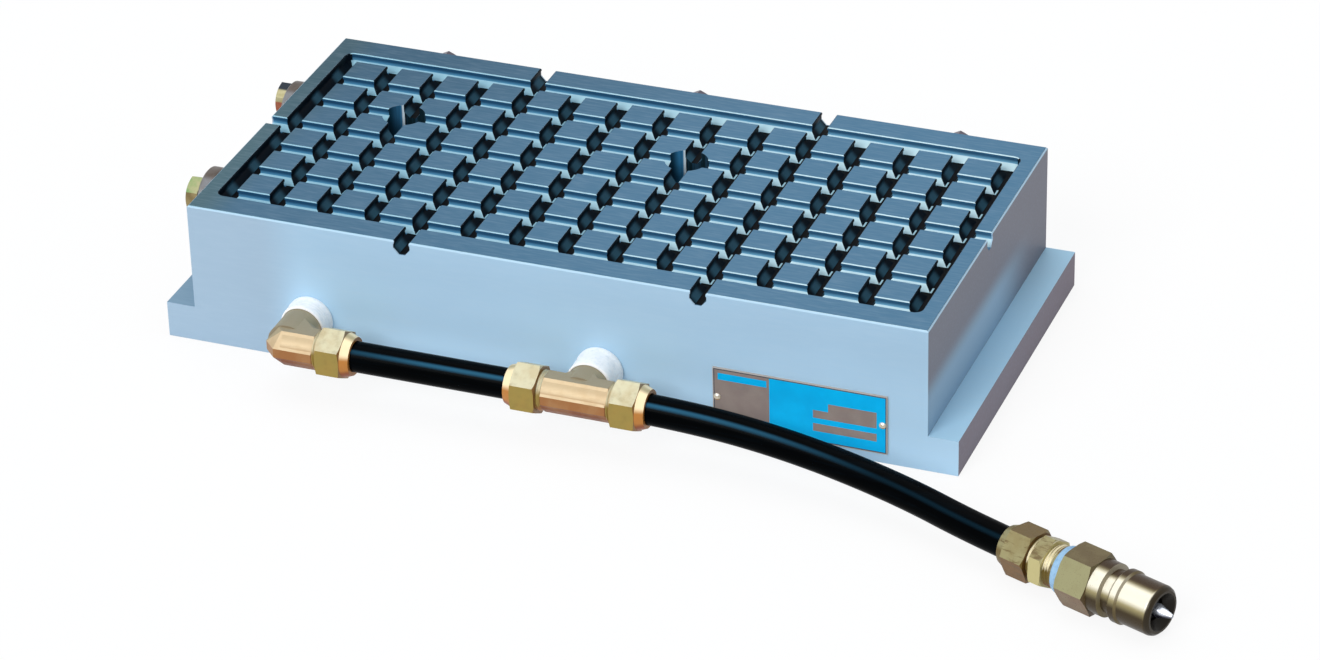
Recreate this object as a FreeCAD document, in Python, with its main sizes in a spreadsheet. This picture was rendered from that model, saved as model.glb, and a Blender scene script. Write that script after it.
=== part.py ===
"""Vacuum chuck for light machining: a grooved steel block with two brass vacuum fittings and a hose.

Frame: millimetres, origin at the centre of the block's underside, +X along its length,
+Y from the port side to the stop side, +Z up towards the working face.
"""

import FreeCAD, Part
import math
import os
import re

import Sketcher
from FreeCAD import Placement, Rotation, Vector

DOC = FreeCAD.newDocument("vacuum_chuck")
SHEET = DOC.addObject("Spreadsheet::Sheet", "dims")

# Driving dimensions, in millimetres and degrees
DIMENSIONS = {
    "body_length": 300,
    "body_width": 150,
    "body_height": 60,
    "flange_reach": 12,
    "flange_height": 15,
    "edge_break": 0.6,
    "groove_pitch": 20,
    "groove_columns": 15,
    "groove_rows": 7,
    "groove_mouth": 6.2,
    "groove_depth": 5.6,
    "groove_floor": 2.6,
    "lip_break": 0.35,
    "land_depth": 1.2,
    "undercut_reach": 0.3,
    "undercut_depth": 3.2,
    "runout_spacing": 120,
    "suction_bore": 17,
    "suction_depth": 47,
    "suction_row": 20,
    "left_port": -100,
    "right_port": 20,
    "port_height": 19.5,
    "port_depth": 14,
    "port_stub": 16.6,
    "channel_bore": 11,
    "thread_clearance": 0.05,
    "stop_drop": 14,
    "stop_radius": 12.5,
    "stop_thickness": 8.5,
    "stop_throw": 4.5,
    "stop_gap": 0.3,
    "end_stop_spacing": 84,
    "back_stop_spacing": 110,
    "bolt_shank": 8,
    "bolt_reach": 14,
    "bolt_head_flats": 13,
    "bolt_head_height": 5.3,
    "shank_clearance": 0.05,
    "plate_length": 69,
    "plate_height": 25,
    "plate_thickness": 0.8,
    "plate_centre": 100,
    "plate_level": 16.8,
    "rivet_spacing": 65.4,
    "rivet_shank": 2,
    "rivet_head": 2.8,
    "rivet_dome": 0.9,
    "rivet_length": 4,
    "run_offset": 21.6,
    "forging_half_height": 7.5,
    "forging_half_width": 7.7,
    "flat_half_width": 2.9,
    "side_flat": 1.9,
    "run_reach": 13,
    "elbow_branch_reach": 13,
    "tee_branch_reach": 9,
    "elbow_corner_cut": 5,
    "elbow_gusset": 4,
    "tee_gusset": 0.8,
    "branch_bore": 9,
    "tube_outside": 12,
    "tube_inside": 9,
    "tube_clearance": 0.08,
    "tube_seat": 11,
    "run_bore": 8,
    "thread_outside": 15,
    "thread_end": 22,
    "ferrule_seat_depth": 1.6,
    "nut_start": 15.1,
    "nut_flats": 18,
    "nut_hex_length": 10,
    "nut_nose_length": 3.2,
    "nut_nose": 15,
    "nut_corner_break": 1,
    "ferrule_outside": 14.2,
    "insert_inside": 7.4,
    "insert_length": 12,
    "insert_flange": 0.8,
    "seal_thickness": 0.85,
    "seal_bulge": 1.2,
    "connector_flats": 17.6,
    "connector_hex_length": 5.4,
    "connector_neck": 15,
    "plug_offset": 0.5,
    "plug_stub_engagement": 11,
    "plug_flats": 21,
    "plug_hex_length": 13,
    "plug_corner_break": 1.2,
    "collar": 20.4,
    "collar_length": 4.9,
    "latch_groove": 16.6,
    "latch_groove_length": 3.4,
    "latch_slope": 1.6,
    "ridge_length": 2.4,
    "nose": 19,
    "nose_length": 39.6,
    "nose_round": 2,
    "mouth": 14.4,
    "throat": 8.8,
    "throat_length": 1,
    "seat_depth": 1.9,
    "valve_bore": 12.6,
    "retainer_bore": 14.4,
    "retainer_thickness": 2.5,
    "retainer_clearance": 0.06,
    "retainer_port": 2.8,
    "retainer_port_circle": 8.8,
    "retainer_ports": 4,
    "poppet_gap": 0.3,
    "poppet_head_length": 2,
    "poppet_hub": 6,
    "poppet_tip": 5.2,
    "poppet_point": 1.4,
    "poppet_cone_length": 6,
    "poppet_overhang": 4.2,
    "poppet_stem": 3.8,
    "stem_clearance": 0.06,
    "spring_wire": 0.9,
    "spring_coil": 8.8,
    "spring_turns": 5,
    "coupling_x": 225,
    "coupling_y": -139,
    "coupling_turn": -21,
}

for row, (alias, value) in enumerate(DIMENSIONS.items(), start=1):
    SHEET.set(f"A{row}", alias.replace("_", " "))
    SHEET.set(f"B{row}", str(value))
    SHEET.setAlias(f"B{row}", alias)
DOC.recompute()

# The hose's route in the part's frame; its ends lie in the tee and in the coupling's connector
HOSE_STRAIGHT = 42
HOSE_MIDDLE = [(105, -100.2, 17.2), (150, -109.5, 13)]
HOSE_LEAD_OUT = 42
SPRING_END_GAP = 0.1
EIGHTHS = [math.radians(45 * number + 22.5) for number in range(8)]

ALONG_X = Rotation(Vector(1, 1, 1), 120)
NODES = []


def bound(text):
    """Turn a formula in alias names into an expression on the sheet."""
    return re.sub(r"[a-z_]+", lambda word: f"dims.{word[0]}" if word[0] in DIMENSIONS else word[0], text)


def value_of(text):
    """The number that a formula in alias names gives with the present sheet."""
    return float(SHEET.evalExpression(bound(text)))


def bind(thing, **formulas):
    """Bind properties of an object to formulas in alias names."""
    for name, text in formulas.items():
        thing.setExpression(name, bound(text))


def finish(thing, label, placement=None):
    """Name a finished sub-part, put it in its place and keep it for export."""
    thing.Label = label
    if placement is not None:
        thing.Placement = placement
    NODES.append(thing)
    return thing


def origin_plane(body, role):
    return next(feature for feature in body.Origin.OriginFeatures if feature.Role == role)


def add_sketch(body, name, role, **offsets):
    """A sketch flat on one of its body's origin planes, moved by formulas for its own x, y and z."""
    sketch = body.newObject("Sketcher::SketchObject", name)
    sketch.AttachmentSupport = [(origin_plane(body, role), "")]
    sketch.MapMode = "FlatFace"
    for axis, text in offsets.items():
        sketch.setExpression(f"AttachmentOffset.Base.{axis}", bound(text))
    return sketch


def draw_outline(sketch, corners):
    """A closed outline of straight lines through corners, each a pair of formulas."""
    points = [Vector(value_of(x), value_of(y), 0) for x, y in corners]
    first = sketch.GeometryCount
    count = len(points)
    sketch.addGeometry([Part.LineSegment(points[i], points[(i + 1) % count]) for i in range(count)], False)
    for i in range(count):
        following = first + (i + 1) % count
        sketch.addConstraint(Sketcher.Constraint("Coincident", first + i, 2, following, 1))
    for i, formulas in enumerate(corners):
        for kind, text in zip(("DistanceX", "DistanceY"), formulas):
            number = sketch.addConstraint(Sketcher.Constraint(kind, -1, 1, first + i, 1, value_of(text)))
            name = f"{kind[-1].lower()}{first + i}"
            sketch.renameConstraint(number, name)
            sketch.setExpression(f".Constraints.{name}", bound(text))


def draw_circle(sketch, x, y, radius):
    """A circle whose centre and radius are formulas."""
    circle = Part.Circle(Vector(value_of(x), value_of(y), 0), Vector(0, 0, 1), value_of(radius))
    number = sketch.addGeometry(circle, False)
    for kind, text in (("DistanceX", x), ("DistanceY", y)):
        constraint = sketch.addConstraint(Sketcher.Constraint(kind, -1, 1, number, 3, value_of(text)))
        name = f"centre_{kind[-1].lower()}{number}"
        sketch.renameConstraint(constraint, name)
        sketch.setExpression(f".Constraints.{name}", bound(text))
    constraint = sketch.addConstraint(Sketcher.Constraint("Radius", number, value_of(radius)))
    sketch.renameConstraint(constraint, f"radius{number}")
    sketch.setExpression(f".Constraints.radius{number}", bound(radius))


def turned_body(name, profile):
    """A lathe-turned piece about its own X axis; the profile is (along, radius) corner formulas."""
    body = DOC.addObject("PartDesign::Body", name)
    sketch = add_sketch(body, f"{name}_profile", "XY_Plane")
    draw_outline(sketch, profile)
    turn = body.newObject("PartDesign::Revolution", f"{name}_turned")
    turn.Profile = sketch
    turn.ReferenceAxis = (sketch, ["H_Axis"])
    turn.Angle = 360
    sketch.Visibility = False
    DOC.recompute()
    return body


def hex_bar(name, flats, length):
    """Hexagonal bar along X, one pair of flats facing front and back."""
    bar = DOC.addObject("Part::Prism", name)
    bar.Polygon = 6
    bind(bar, Circumradius=f"({flats}) / sqrt(3)", Height=length)
    bar.Placement = Placement(Vector(0, 0, 0), ALONG_X * Rotation(Vector(0, 0, 1), 90))
    return bar


def common_of(name, base, tool):
    both = DOC.addObject("Part::Common", name)
    both.Base = base
    both.Tool = tool
    return both


def fuse_of(name, shapes):
    joined = DOC.addObject("Part::MultiFuse", name)
    joined.Shapes = shapes
    return joined


def cut_of(name, base, tool):
    cut = DOC.addObject("Part::Cut", name)
    cut.Base = base
    cut.Tool = tool
    return cut


def rod(name, radius, length, turn, start="0"):
    """A round bar from a formula's distance along the direction that its local Z is turned to."""
    bar = DOC.addObject("Part::Cylinder", name)
    bind(bar, Radius=radius, Height=length)
    bar.Placement = Placement(turn.multVec(Vector(0, 0, value_of(start))), turn)
    return bar


# Block with flanges, grid of undercut grooves, suction holes and drilled ports


def groove_profile(across, top):
    """The undercut groove's section: lip chamfer, land, undercut and narrow floor."""
    half = [
        ("groove_mouth / 2 + lip_break", "0"),
        ("groove_mouth / 2", "lip_break"),
        ("groove_mouth / 2", "land_depth"),
        ("groove_mouth / 2 + undercut_reach", "land_depth + undercut_reach"),
        ("groove_mouth / 2 + undercut_reach", "undercut_depth"),
        ("groove_floor / 2", "groove_depth"),
    ]
    right = [(f"{across} + {x}", f"{top} - ({down})") for x, down in half]
    left = [(f"{across} - ({x})", f"{top} - ({down})") for x, down in reversed(half)]
    return right + left


def groove_row(body, name, role, across, length, count, span):
    """Mill one groove, centred along its length, and repeat it evenly over a span."""
    sketch = add_sketch(body, f"{name}_section", role)
    draw_outline(sketch, groove_profile(across, "body_height"))
    cut = body.newObject("PartDesign::Pocket", f"{name}_cut")
    cut.Profile = sketch
    cut.Midplane = True
    cut.Type = 0
    bind(cut, Length=length)
    DOC.recompute()
    pattern = body.newObject("PartDesign::LinearPattern", f"{name}_pattern")
    pattern.Originals = [cut]
    pattern.Direction = (sketch, ["H_Axis"])
    bind(pattern, Length=span, Occurrences=count)
    body.Tip = pattern
    DOC.recompute()
    return pattern


def drill(body, name, role, spots, radius, depth, reverse, **offsets):
    """Round blind holes from a plane, all of one size."""
    sketch = add_sketch(body, f"{name}_spots", role, **offsets)
    for x, y in spots:
        draw_circle(sketch, x, y, radius)
    hole = body.newObject("PartDesign::Pocket", name)
    hole.Profile = sketch
    hole.Type = 0
    hole.Reversed = reverse
    bind(hole, Length=depth)
    body.Tip = hole
    before = body.Shape.Volume
    DOC.recompute()
    if not body.Shape.Volume < before - 1:
        raise RuntimeError(f"{name} removed nothing")
    return hole


def make_chuck_body():
    body = DOC.addObject("PartDesign::Body", "chuck_body")
    side = "body_length / 2"
    foot = "body_length / 2 + flange_reach"
    sketch = add_sketch(body, "block_section", "XZ_Plane")
    draw_outline(
        sketch,
        [
            (f"-({foot})", "0"),
            (foot, "0"),
            (foot, "flange_height"),
            (side, "flange_height"),
            (side, "body_height"),
            (f"-{side}", "body_height"),
            (f"-{side}", "flange_height"),
            (f"-({foot})", "flange_height"),
        ],
    )
    block = body.newObject("PartDesign::Pad", "block")
    block.Profile = sketch
    block.Midplane = True
    bind(block, Length="body_width")
    DOC.recompute()

    height = value_of("body_height")
    rim = [
        f"Edge{number}"
        for number, edge in enumerate(block.Shape.Edges, start=1)
        if all(abs(vertex.Z - height) < 1e-6 for vertex in edge.Vertexes)
    ]
    broken = body.newObject("PartDesign::Chamfer", "rim_break")
    broken.Base = (block, rim)
    bind(broken, Size="edge_break")
    body.Tip = broken
    DOC.recompute()

    holes = [("left_port", "suction_row"), ("right_port", "suction_row")]
    drill(body, "suction_holes", "XY_Plane", holes, "suction_bore / 2", "suction_depth", False, z="body_height")
    ports = [("left_port", "port_height"), ("right_port", "port_height")]
    port_radius = "port_stub / 2 + thread_clearance"
    drill(body, "ports", "XZ_Plane", ports, port_radius, "port_depth", False, z="body_width / 2")
    channel_depth = "body_width / 2 + suction_row"
    drill(body, "channels", "XZ_Plane", ports, "channel_bore / 2", channel_depth, False, z="body_width / 2")
    drill_stop_holes(body)
    drill_rivet_holes(body)
    mill_grooves(body)
    return finish(body, "chuck_body")


def mill_grooves(body):
    """The grid of grooves in the working face, its rounded outer corners and its run-outs."""
    first_x = "-(groove_columns - 1) / 2 * groove_pitch"
    first_y = "-(groove_rows - 1) / 2 * groove_pitch"
    span_x = "(groove_columns - 1) * groove_pitch"
    span_y = "(groove_rows - 1) * groove_pitch"
    round_groove_corners(body, first_x, first_y)
    sketch = add_sketch(body, "row_runout_section", "YZ_Plane")
    draw_outline(sketch, groove_profile("0", "body_height"))
    runout = body.newObject("PartDesign::Pocket", "row_runout")
    runout.Profile = sketch
    runout.Midplane = True
    bind(runout, Length="body_length + 2")
    body.Tip = runout
    groove_row(
        body, "column_runouts", "XZ_Plane", "-runout_spacing / 2", "body_width + 2", "2", "runout_spacing",
    )
    groove_row(body, "columns", "XZ_Plane", first_x, span_y, "groove_columns", span_x)
    groove_row(body, "rows", "YZ_Plane", first_y, span_x, "groove_rows", span_y)


def round_groove_corners(body, first_x, first_y):
    """The cutter leaves a round corner where the outer grooves turn: its own shape, turned there."""
    profile = [("0", "0")]
    profile += [(x, down) for x, down in (
        ("groove_mouth / 2 + lip_break", "0"),
        ("groove_mouth / 2", "-lip_break"),
        ("groove_mouth / 2", "-land_depth"),
        ("groove_mouth / 2 + undercut_reach", "-(land_depth + undercut_reach)"),
        ("groove_mouth / 2 + undercut_reach", "-undercut_depth"),
        ("groove_floor / 2", "-groove_depth"),
        ("0", "-groove_depth"),
    )]
    for number, (x, y) in enumerate(((1, 1), (-1, 1), (-1, -1), (1, -1)), start=1):
        sketch = add_sketch(
            body, f"corner_{number}_section", "XZ_Plane",
            x=f"{x} * ({first_x})", y="body_height", z=f"-({y}) * ({first_y})",
        )
        draw_outline(sketch, profile)
        corner = body.newObject("PartDesign::Groove", f"corner_{number}")
        corner.Profile = sketch
        corner.ReferenceAxis = (sketch, ["V_Axis"])
        corner.Angle = 360
        body.Tip = corner
        DOC.recompute()


def end_stop_spots():
    return [f"{side} * end_stop_spacing / 2" for side in (-1, 1)]


def back_stop_spots():
    return [f"{side} * back_stop_spacing" for side in (-1, 0, 1)]


def drill_stop_holes(body):
    """Tapped holes for the stops' bolts, in the left end and in the back."""
    level = "body_height - stop_drop"
    radius = "bolt_shank / 2 + shank_clearance"
    depth = "bolt_reach + 1"
    ends = [(spot, level) for spot in end_stop_spots()]
    drill(body, "end_stop_holes", "YZ_Plane", ends, radius, depth, True, z="-body_length / 2")
    backs = [(spot, level) for spot in back_stop_spots()]
    drill(body, "back_stop_holes", "XZ_Plane", backs, radius, depth, True, z="-body_width / 2")


def drill_rivet_holes(body):
    spots = [(f"plate_centre + {side} * rivet_spacing / 2", "plate_level") for side in (-1, 1)]
    radius = "rivet_shank / 2 + shank_clearance"
    drill(body, "rivet_holes", "XZ_Plane", spots, radius, "rivet_length", False, z="body_width / 2")


# Nameplate and its two drive rivets


def make_name_plate():
    body = DOC.addObject("PartDesign::Body", "name_plate")
    sketch = add_sketch(body, "plate_outline", "XZ_Plane", z="body_width / 2")
    left = "plate_centre - plate_length / 2"
    right = "plate_centre + plate_length / 2"
    low = "plate_level - plate_height / 2"
    high = "plate_level + plate_height / 2"
    draw_outline(sketch, [(left, low), (right, low), (right, high), (left, high)])
    sheet = body.newObject("PartDesign::Pad", "plate_sheet")
    sheet.Profile = sketch
    bind(sheet, Length="plate_thickness")
    DOC.recompute()
    spots = [(f"plate_centre + {side} * rivet_spacing / 2", "plate_level") for side in (-1, 1)]
    radius = "rivet_shank / 2 + shank_clearance"
    depth = "plate_thickness"
    drill(body, "plate_holes", "XZ_Plane", spots, radius, depth, False, z="body_width / 2 + plate_thickness")
    finish(body, "name_plate")
    for side, word in ((-1, "left"), (1, "right")):
        rivet = make_rivet(f"name_plate_rivet_{word}")
        x = value_of(f"plate_centre + {side} * rivet_spacing / 2")
        y = -value_of("body_width / 2 + plate_thickness")
        place = Placement(Vector(x, y, value_of("plate_level")), Rotation(Vector(0, 0, 1), -90))
        finish(rivet, f"name_plate_rivet_{word}", place)


def make_rivet(name):
    """Drive rivet along X: its shank lies at negative X and its domed head stands at positive X."""
    shank_end = "-(rivet_length + plate_thickness - shank_clearance)"
    return turned_body(
        name,
        [
            (shank_end, "0"),
            (shank_end, "rivet_shank / 2"),
            ("0", "rivet_shank / 2"),
            ("0", "rivet_head / 2"),
            ("rivet_dome * 0.45", "rivet_head / 2 * 0.9"),
            ("rivet_dome * 0.85", "rivet_head / 2 * 0.5"),
            ("rivet_dome", "0"),
        ],
    )


# Eccentric edge stops: a disc that turns on a hexagon bolt beside the working face


def make_stop(name, seat, turn):
    """One stop on a seat whose local X points out of the block; its throw hangs down, then turns."""
    turned = Placement(Vector(0, 0, 0), Rotation(Vector(1, 0, 0), turn))
    finish(make_stop_disc(f"{name}_disc"), f"{name}_disc", seat.multiply(turned))
    finish(make_stop_bolt(f"{name}_bolt"), f"{name}_bolt", seat)


def make_stop_disc(name):
    """Round disc with an off-centre hole on the X axis and a bevelled outer rim."""
    body = DOC.addObject("PartDesign::Body", name)
    sketch = add_sketch(body, f"{name}_outline", "YZ_Plane", z="stop_gap")
    draw_circle(sketch, "0", "-stop_throw", "stop_radius")
    draw_circle(sketch, "0", "0", "bolt_shank / 2 + shank_clearance")
    disc = body.newObject("PartDesign::Pad", f"{name}_pad")
    disc.Profile = sketch
    bind(disc, Length="stop_thickness")
    DOC.recompute()
    front = value_of("stop_gap + stop_thickness")
    radius = value_of("stop_radius")
    rim = [
        f"Edge{number}"
        for number, edge in enumerate(disc.Shape.Edges, start=1)
        if isinstance(edge.Curve, Part.Circle)
        and abs(edge.Curve.Radius - radius) < 1e-6
        and abs(edge.Curve.Center.x - front) < 1e-6
    ]
    bevel = body.newObject("PartDesign::Chamfer", f"{name}_bevel")
    bevel.Base = (disc, rim)
    bind(bevel, Size="edge_break")
    body.Tip = bevel
    DOC.recompute()
    return body


def make_stop_bolt(name):
    """Hexagon-head bolt along X, its head bearing on the disc with a running gap."""
    under_head = "stop_thickness + 2 * stop_gap"
    top = f"{under_head} + bolt_head_height"
    corner = "bolt_head_flats / sqrt(3)"
    blank = turned_body(
        f"{name}_blank",
        [
            ("-bolt_reach", "0"),
            ("-bolt_reach", "bolt_shank / 2 - edge_break"),
            ("-bolt_reach + edge_break", "bolt_shank / 2"),
            (under_head, "bolt_shank / 2"),
            (under_head, corner),
            (f"{top} - bolt_head_height / 8", corner),
            (top, "bolt_head_flats / 2 * 0.94"),
            (top, "0"),
        ],
    )
    head = hex_bar(f"{name}_hex", "bolt_head_flats", "bolt_head_height")
    head.setExpression("Placement.Base.x", bound(under_head))
    shank = rod(f"{name}_shank", "bolt_shank / 2", f"{under_head} + bolt_reach", ALONG_X)
    shank.setExpression("Placement.Base.x", bound("-bolt_reach"))
    return common_of(name, blank, fuse_of(f"{name}_bar", [head, shank]))


def make_stops():
    level = value_of("body_height - stop_drop")
    out_left = Rotation(Vector(0, 0, 1), 180)
    out_back = Rotation(Vector(0, 0, 1), 90)
    for number, (spot, turn) in enumerate(zip(end_stop_spots(), (-50, 35)), start=1):
        seat = Placement(Vector(-value_of("body_length / 2"), value_of(spot), level), out_left)
        make_stop(f"end_stop_{number}", seat, turn)
    for number, spot in enumerate(back_stop_spots(), start=1):
        seat = Placement(Vector(value_of(spot), value_of("body_width / 2"), level), out_back)
        make_stop(f"back_stop_{number}", seat, 0)


# Brass compression fittings for the nylon tube


def forging_outline(half_width, corner_cut, gusset, branch_reach, run_left):
    """Plan outline of an elbow or a tee, its run along X and its branch towards positive Y."""
    wide = half_width
    right_side = [
        (f"-({wide}) + ({corner_cut})" if run_left is None else f"-({run_left})", f"-({wide})"),
        ("run_reach", f"-({wide})"),
        ("run_reach", wide),
        (f"{wide} + {gusset}", wide),
        (wide, f"{wide} + {gusset}"),
        (wide, branch_reach),
        (f"-({wide})", branch_reach),
    ]
    if run_left is None:
        return right_side + [(f"-({wide})", f"-({wide}) + ({corner_cut})")]
    return right_side + [
        (f"-({wide})", f"{wide} + {gusset}"),
        (f"-({wide} + {gusset})", wide),
        (f"-({run_left})", wide),
    ]


def forged_blank(name, corner_cut, gusset, branch_reach, run_left):
    """Forging with flat top and underside, bevelled sides and a narrow upright band round its middle."""
    body = DOC.addObject("PartDesign::Body", name)
    middle = forging_outline("forging_half_width", corner_cut, gusset, branch_reach, run_left)
    slack = "(forging_half_width - flat_half_width) * (2 - sqrt(2))"
    top = forging_outline("flat_half_width", f"{corner_cut} - {slack}", f"{gusset} + {slack}", branch_reach, run_left)
    sketch = add_sketch(body, f"{name}_middle", "XY_Plane")
    draw_outline(sketch, middle)
    band = body.newObject("PartDesign::Pad", f"{name}_band")
    band.Profile = sketch
    band.Midplane = True
    bind(band, Length="2 * side_flat")
    DOC.recompute()
    low = add_sketch(body, f"{name}_bevel_foot", "XY_Plane", z="side_flat")
    draw_outline(low, middle)
    high = add_sketch(body, f"{name}_flat", "XY_Plane", z="forging_half_height")
    draw_outline(high, top)
    bevel = body.newObject("PartDesign::AdditiveLoft", f"{name}_bevel")
    bevel.Profile = low
    bevel.Sections = [high]
    bevel.Ruled = True
    body.Tip = bevel
    DOC.recompute()
    mirror = body.newObject("PartDesign::Mirrored", f"{name}_underside")
    mirror.Originals = [bevel]
    mirror.MirrorPlane = (origin_plane(body, "XY_Plane"), [""])
    body.Tip = mirror
    DOC.recompute()
    return body


def socket_cutter(name):
    """Tube socket along X: through bore, tube seat and the cone that the ferrule seats in."""
    tube = "tube_outside / 2 + tube_clearance"
    return turned_body(
        name,
        [
            ("0", "0"),
            ("0", "run_bore / 2"),
            ("tube_seat - insert_flange - tube_clearance", "run_bore / 2"),
            ("tube_seat - insert_flange - tube_clearance", tube),
            ("thread_end - ferrule_seat_depth", tube),
            ("thread_end", "ferrule_outside / 2"),
            ("thread_end + 1", "ferrule_outside / 2"),
            ("thread_end + 1", "0"),
        ],
    )


def thread_stub(name):
    """Male thread that the nut screws on, from the centre out along X."""
    return turned_body(
        name,
        [
            ("0", "0"),
            ("0", "thread_outside / 2"),
            ("thread_end - edge_break", "thread_outside / 2"),
            ("thread_end", "thread_outside / 2 - edge_break"),
            ("thread_end", "0"),
        ],
    )


def port_stub(name):
    """Tapered pipe thread that screws into the block, along X from the fitting's centre."""
    reach = "run_offset + port_depth - 3"
    return turned_body(
        name,
        [
            ("0", "0"),
            ("0", "port_stub / 2"),
            (f"{reach} - edge_break", "port_stub / 2"),
            (reach, "port_stub / 2 - edge_break"),
            (reach, "0"),
        ],
    )


def fitting_place(port):
    """Centre of the elbow or tee on its port's axis, in front of the block."""
    y = -value_of("body_width / 2 + run_offset")
    return Vector(value_of(port), y, value_of("port_height"))


def make_compression_set(prefix, place):
    """Nut, ferrule and tube insert of one tube end, whose local X points along the tube."""
    finish(make_nut(f"{prefix}_nut"), f"{prefix}_nut", place)
    finish(make_ferrule(f"{prefix}_ferrule"), f"{prefix}_ferrule", place)
    finish(make_insert(f"{prefix}_insert"), f"{prefix}_insert", place)


def make_nut(name):
    """Compression nut: hexagon with a turned nose that closes on the ferrule."""
    corner = "nut_flats / sqrt(3)"
    hex_end = "nut_start + nut_hex_length"
    end = f"{hex_end} + nut_nose_length"
    thread = "thread_outside / 2 + thread_clearance"
    blank = turned_body(
        f"{name}_blank",
        [
            ("nut_start", thread),
            ("nut_start", f"{corner} - nut_corner_break"),
            ("nut_start + nut_corner_break / 2", corner),
            (f"{hex_end} - nut_corner_break / 2", corner),
            (hex_end, "nut_flats / 2 - nut_corner_break / 4"),
            (end, "nut_nose / 2"),
            (end, "tube_outside / 2 + tube_clearance"),
            ("thread_end + 4.2", "tube_outside / 2 + tube_clearance"),
            ("thread_end + 2.4", "ferrule_outside / 2 + tube_clearance"),
            ("thread_end + 2", thread),
        ],
    )
    bar = hex_bar(f"{name}_hex", "nut_flats", "nut_hex_length + nut_nose_length")
    bar.setExpression("Placement.Base.x", bound("nut_start"))
    return common_of(name, blank, bar)


def make_ferrule(name):
    """Brass olive round the tube, its cone in the body's mouth."""
    bore = "tube_outside / 2 + tube_clearance / 4"
    return turned_body(
        name,
        [
            ("thread_end - ferrule_seat_depth + 0.3", bore),
            ("thread_end - ferrule_seat_depth + 0.3", f"{bore} + 0.15"),
            ("thread_end", "ferrule_outside / 2 - tube_clearance"),
            ("thread_end + 2.2", "ferrule_outside / 2 - tube_clearance"),
            ("thread_end + 3.6", f"{bore} + 0.25"),
            ("thread_end + 3.6", bore),
        ],
    )


def make_insert(name):
    """Stiffener sleeve inside the tube's end, flanged over its cut face."""
    return turned_body(
        name,
        [
            ("tube_seat - insert_flange", "insert_inside / 2"),
            ("tube_seat - insert_flange", "tube_outside / 2 - tube_clearance"),
            ("tube_seat", "tube_outside / 2 - tube_clearance"),
            ("tube_seat", "tube_inside / 2 - tube_clearance"),
            ("tube_seat + insert_length", "tube_inside / 2 - tube_clearance"),
            ("tube_seat + insert_length", "insert_inside / 2"),
        ],
    )


def make_port_seal(name, branch_reach):
    """Sealing tape wound on the pipe thread, squeezed up against the block."""
    bore = "port_stub / 2 + thread_clearance"
    return turned_body(
        name,
        [
            (branch_reach, bore),
            (branch_reach, f"{bore} + seal_thickness * 0.5"),
            (f"{branch_reach} + 0.6", f"{bore} + seal_thickness"),
            ("run_offset - 2.6", f"{bore} + seal_thickness"),
            ("run_offset - 1.6", f"{bore} + seal_bulge"),
            ("run_offset - 0.4", f"{bore} + seal_bulge"),
            ("run_offset", f"{bore} + seal_bulge - 0.4"),
            ("run_offset", bore),
        ],
    )


def make_elbow():
    centre = fitting_place("left_port")
    forging = forged_blank("elbow_forging", "elbow_corner_cut", "elbow_gusset", "elbow_branch_reach", None)
    run_thread = thread_stub("elbow_run_thread")
    branch = port_stub("elbow_port_thread")
    branch.Placement = Placement(Vector(0, 0, 0), Rotation(Vector(0, 0, 1), 90))
    solid = fuse_of("elbow_solid", [forging, run_thread, branch])
    run_bore = socket_cutter("elbow_socket")
    port_bore = rod("elbow_port_bore", "branch_bore / 2", "run_offset + port_depth", Rotation(Vector(1, 0, 0), -90))
    body = cut_of("elbow_body", solid, fuse_of("elbow_bores", [run_bore, port_bore]))
    finish(body, "elbow_body", Placement(centre, Rotation()))
    make_compression_set("elbow", Placement(centre, Rotation()))
    seal = make_port_seal("elbow_seal", "elbow_branch_reach")
    finish(seal, "elbow_seal", Placement(centre, Rotation(Vector(0, 0, 1), 90)))


def make_tee():
    centre = fitting_place("right_port")
    back = Rotation(Vector(0, 0, 1), 180)
    across = Rotation(Vector(0, 0, 1), 90)
    forging = forged_blank("tee_forging", "0", "tee_gusset", "tee_branch_reach", "run_reach")
    right_thread = thread_stub("tee_right_thread")
    left_thread = thread_stub("tee_left_thread")
    left_thread.Placement = Placement(Vector(0, 0, 0), back)
    branch = port_stub("tee_port_thread")
    branch.Placement = Placement(Vector(0, 0, 0), across)
    solid = fuse_of("tee_solid", [forging, right_thread, left_thread, branch])
    right_bore = socket_cutter("tee_right_socket")
    left_bore = socket_cutter("tee_left_socket")
    left_bore.Placement = Placement(Vector(0, 0, 0), back)
    port_bore = rod("tee_port_bore", "branch_bore / 2", "run_offset + port_depth", Rotation(Vector(1, 0, 0), -90))
    body = cut_of("tee_body", solid, fuse_of("tee_bores", [right_bore, left_bore, port_bore]))
    finish(body, "tee_body", Placement(centre, Rotation()))
    make_compression_set("tee_left", Placement(centre, back))
    make_compression_set("tee_right", Placement(centre, Rotation()))
    finish(make_port_seal("tee_seal", "tee_branch_reach"), "tee_seal", Placement(centre, across))


def make_link_tube():
    """Straight nylon tube between the elbow and the tee."""
    length = "right_port - left_port - 2 * tube_seat"
    outer = rod("link_tube_outside", "tube_outside / 2", length, ALONG_X)
    inner = rod("link_tube_inside", "tube_inside / 2", length, ALONG_X)
    tube = cut_of("link_tube", outer, inner)
    start = fitting_place("left_port") + Vector(value_of("tube_seat"), 0, 0)
    finish(tube, "link_tube", Placement(start, Rotation()))


# Coupling at the hose's end: connector, seal ring and a valved plug


def coupling_place():
    """Frame of the coupling: it lies on its hexagon, X pointing out of the plug's nose."""
    height = value_of("plug_flats / 2")
    turn = Rotation(Vector(0, 0, 1), value_of("coupling_turn"))
    return Placement(Vector(value_of("coupling_x"), value_of("coupling_y"), height), turn)


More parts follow.
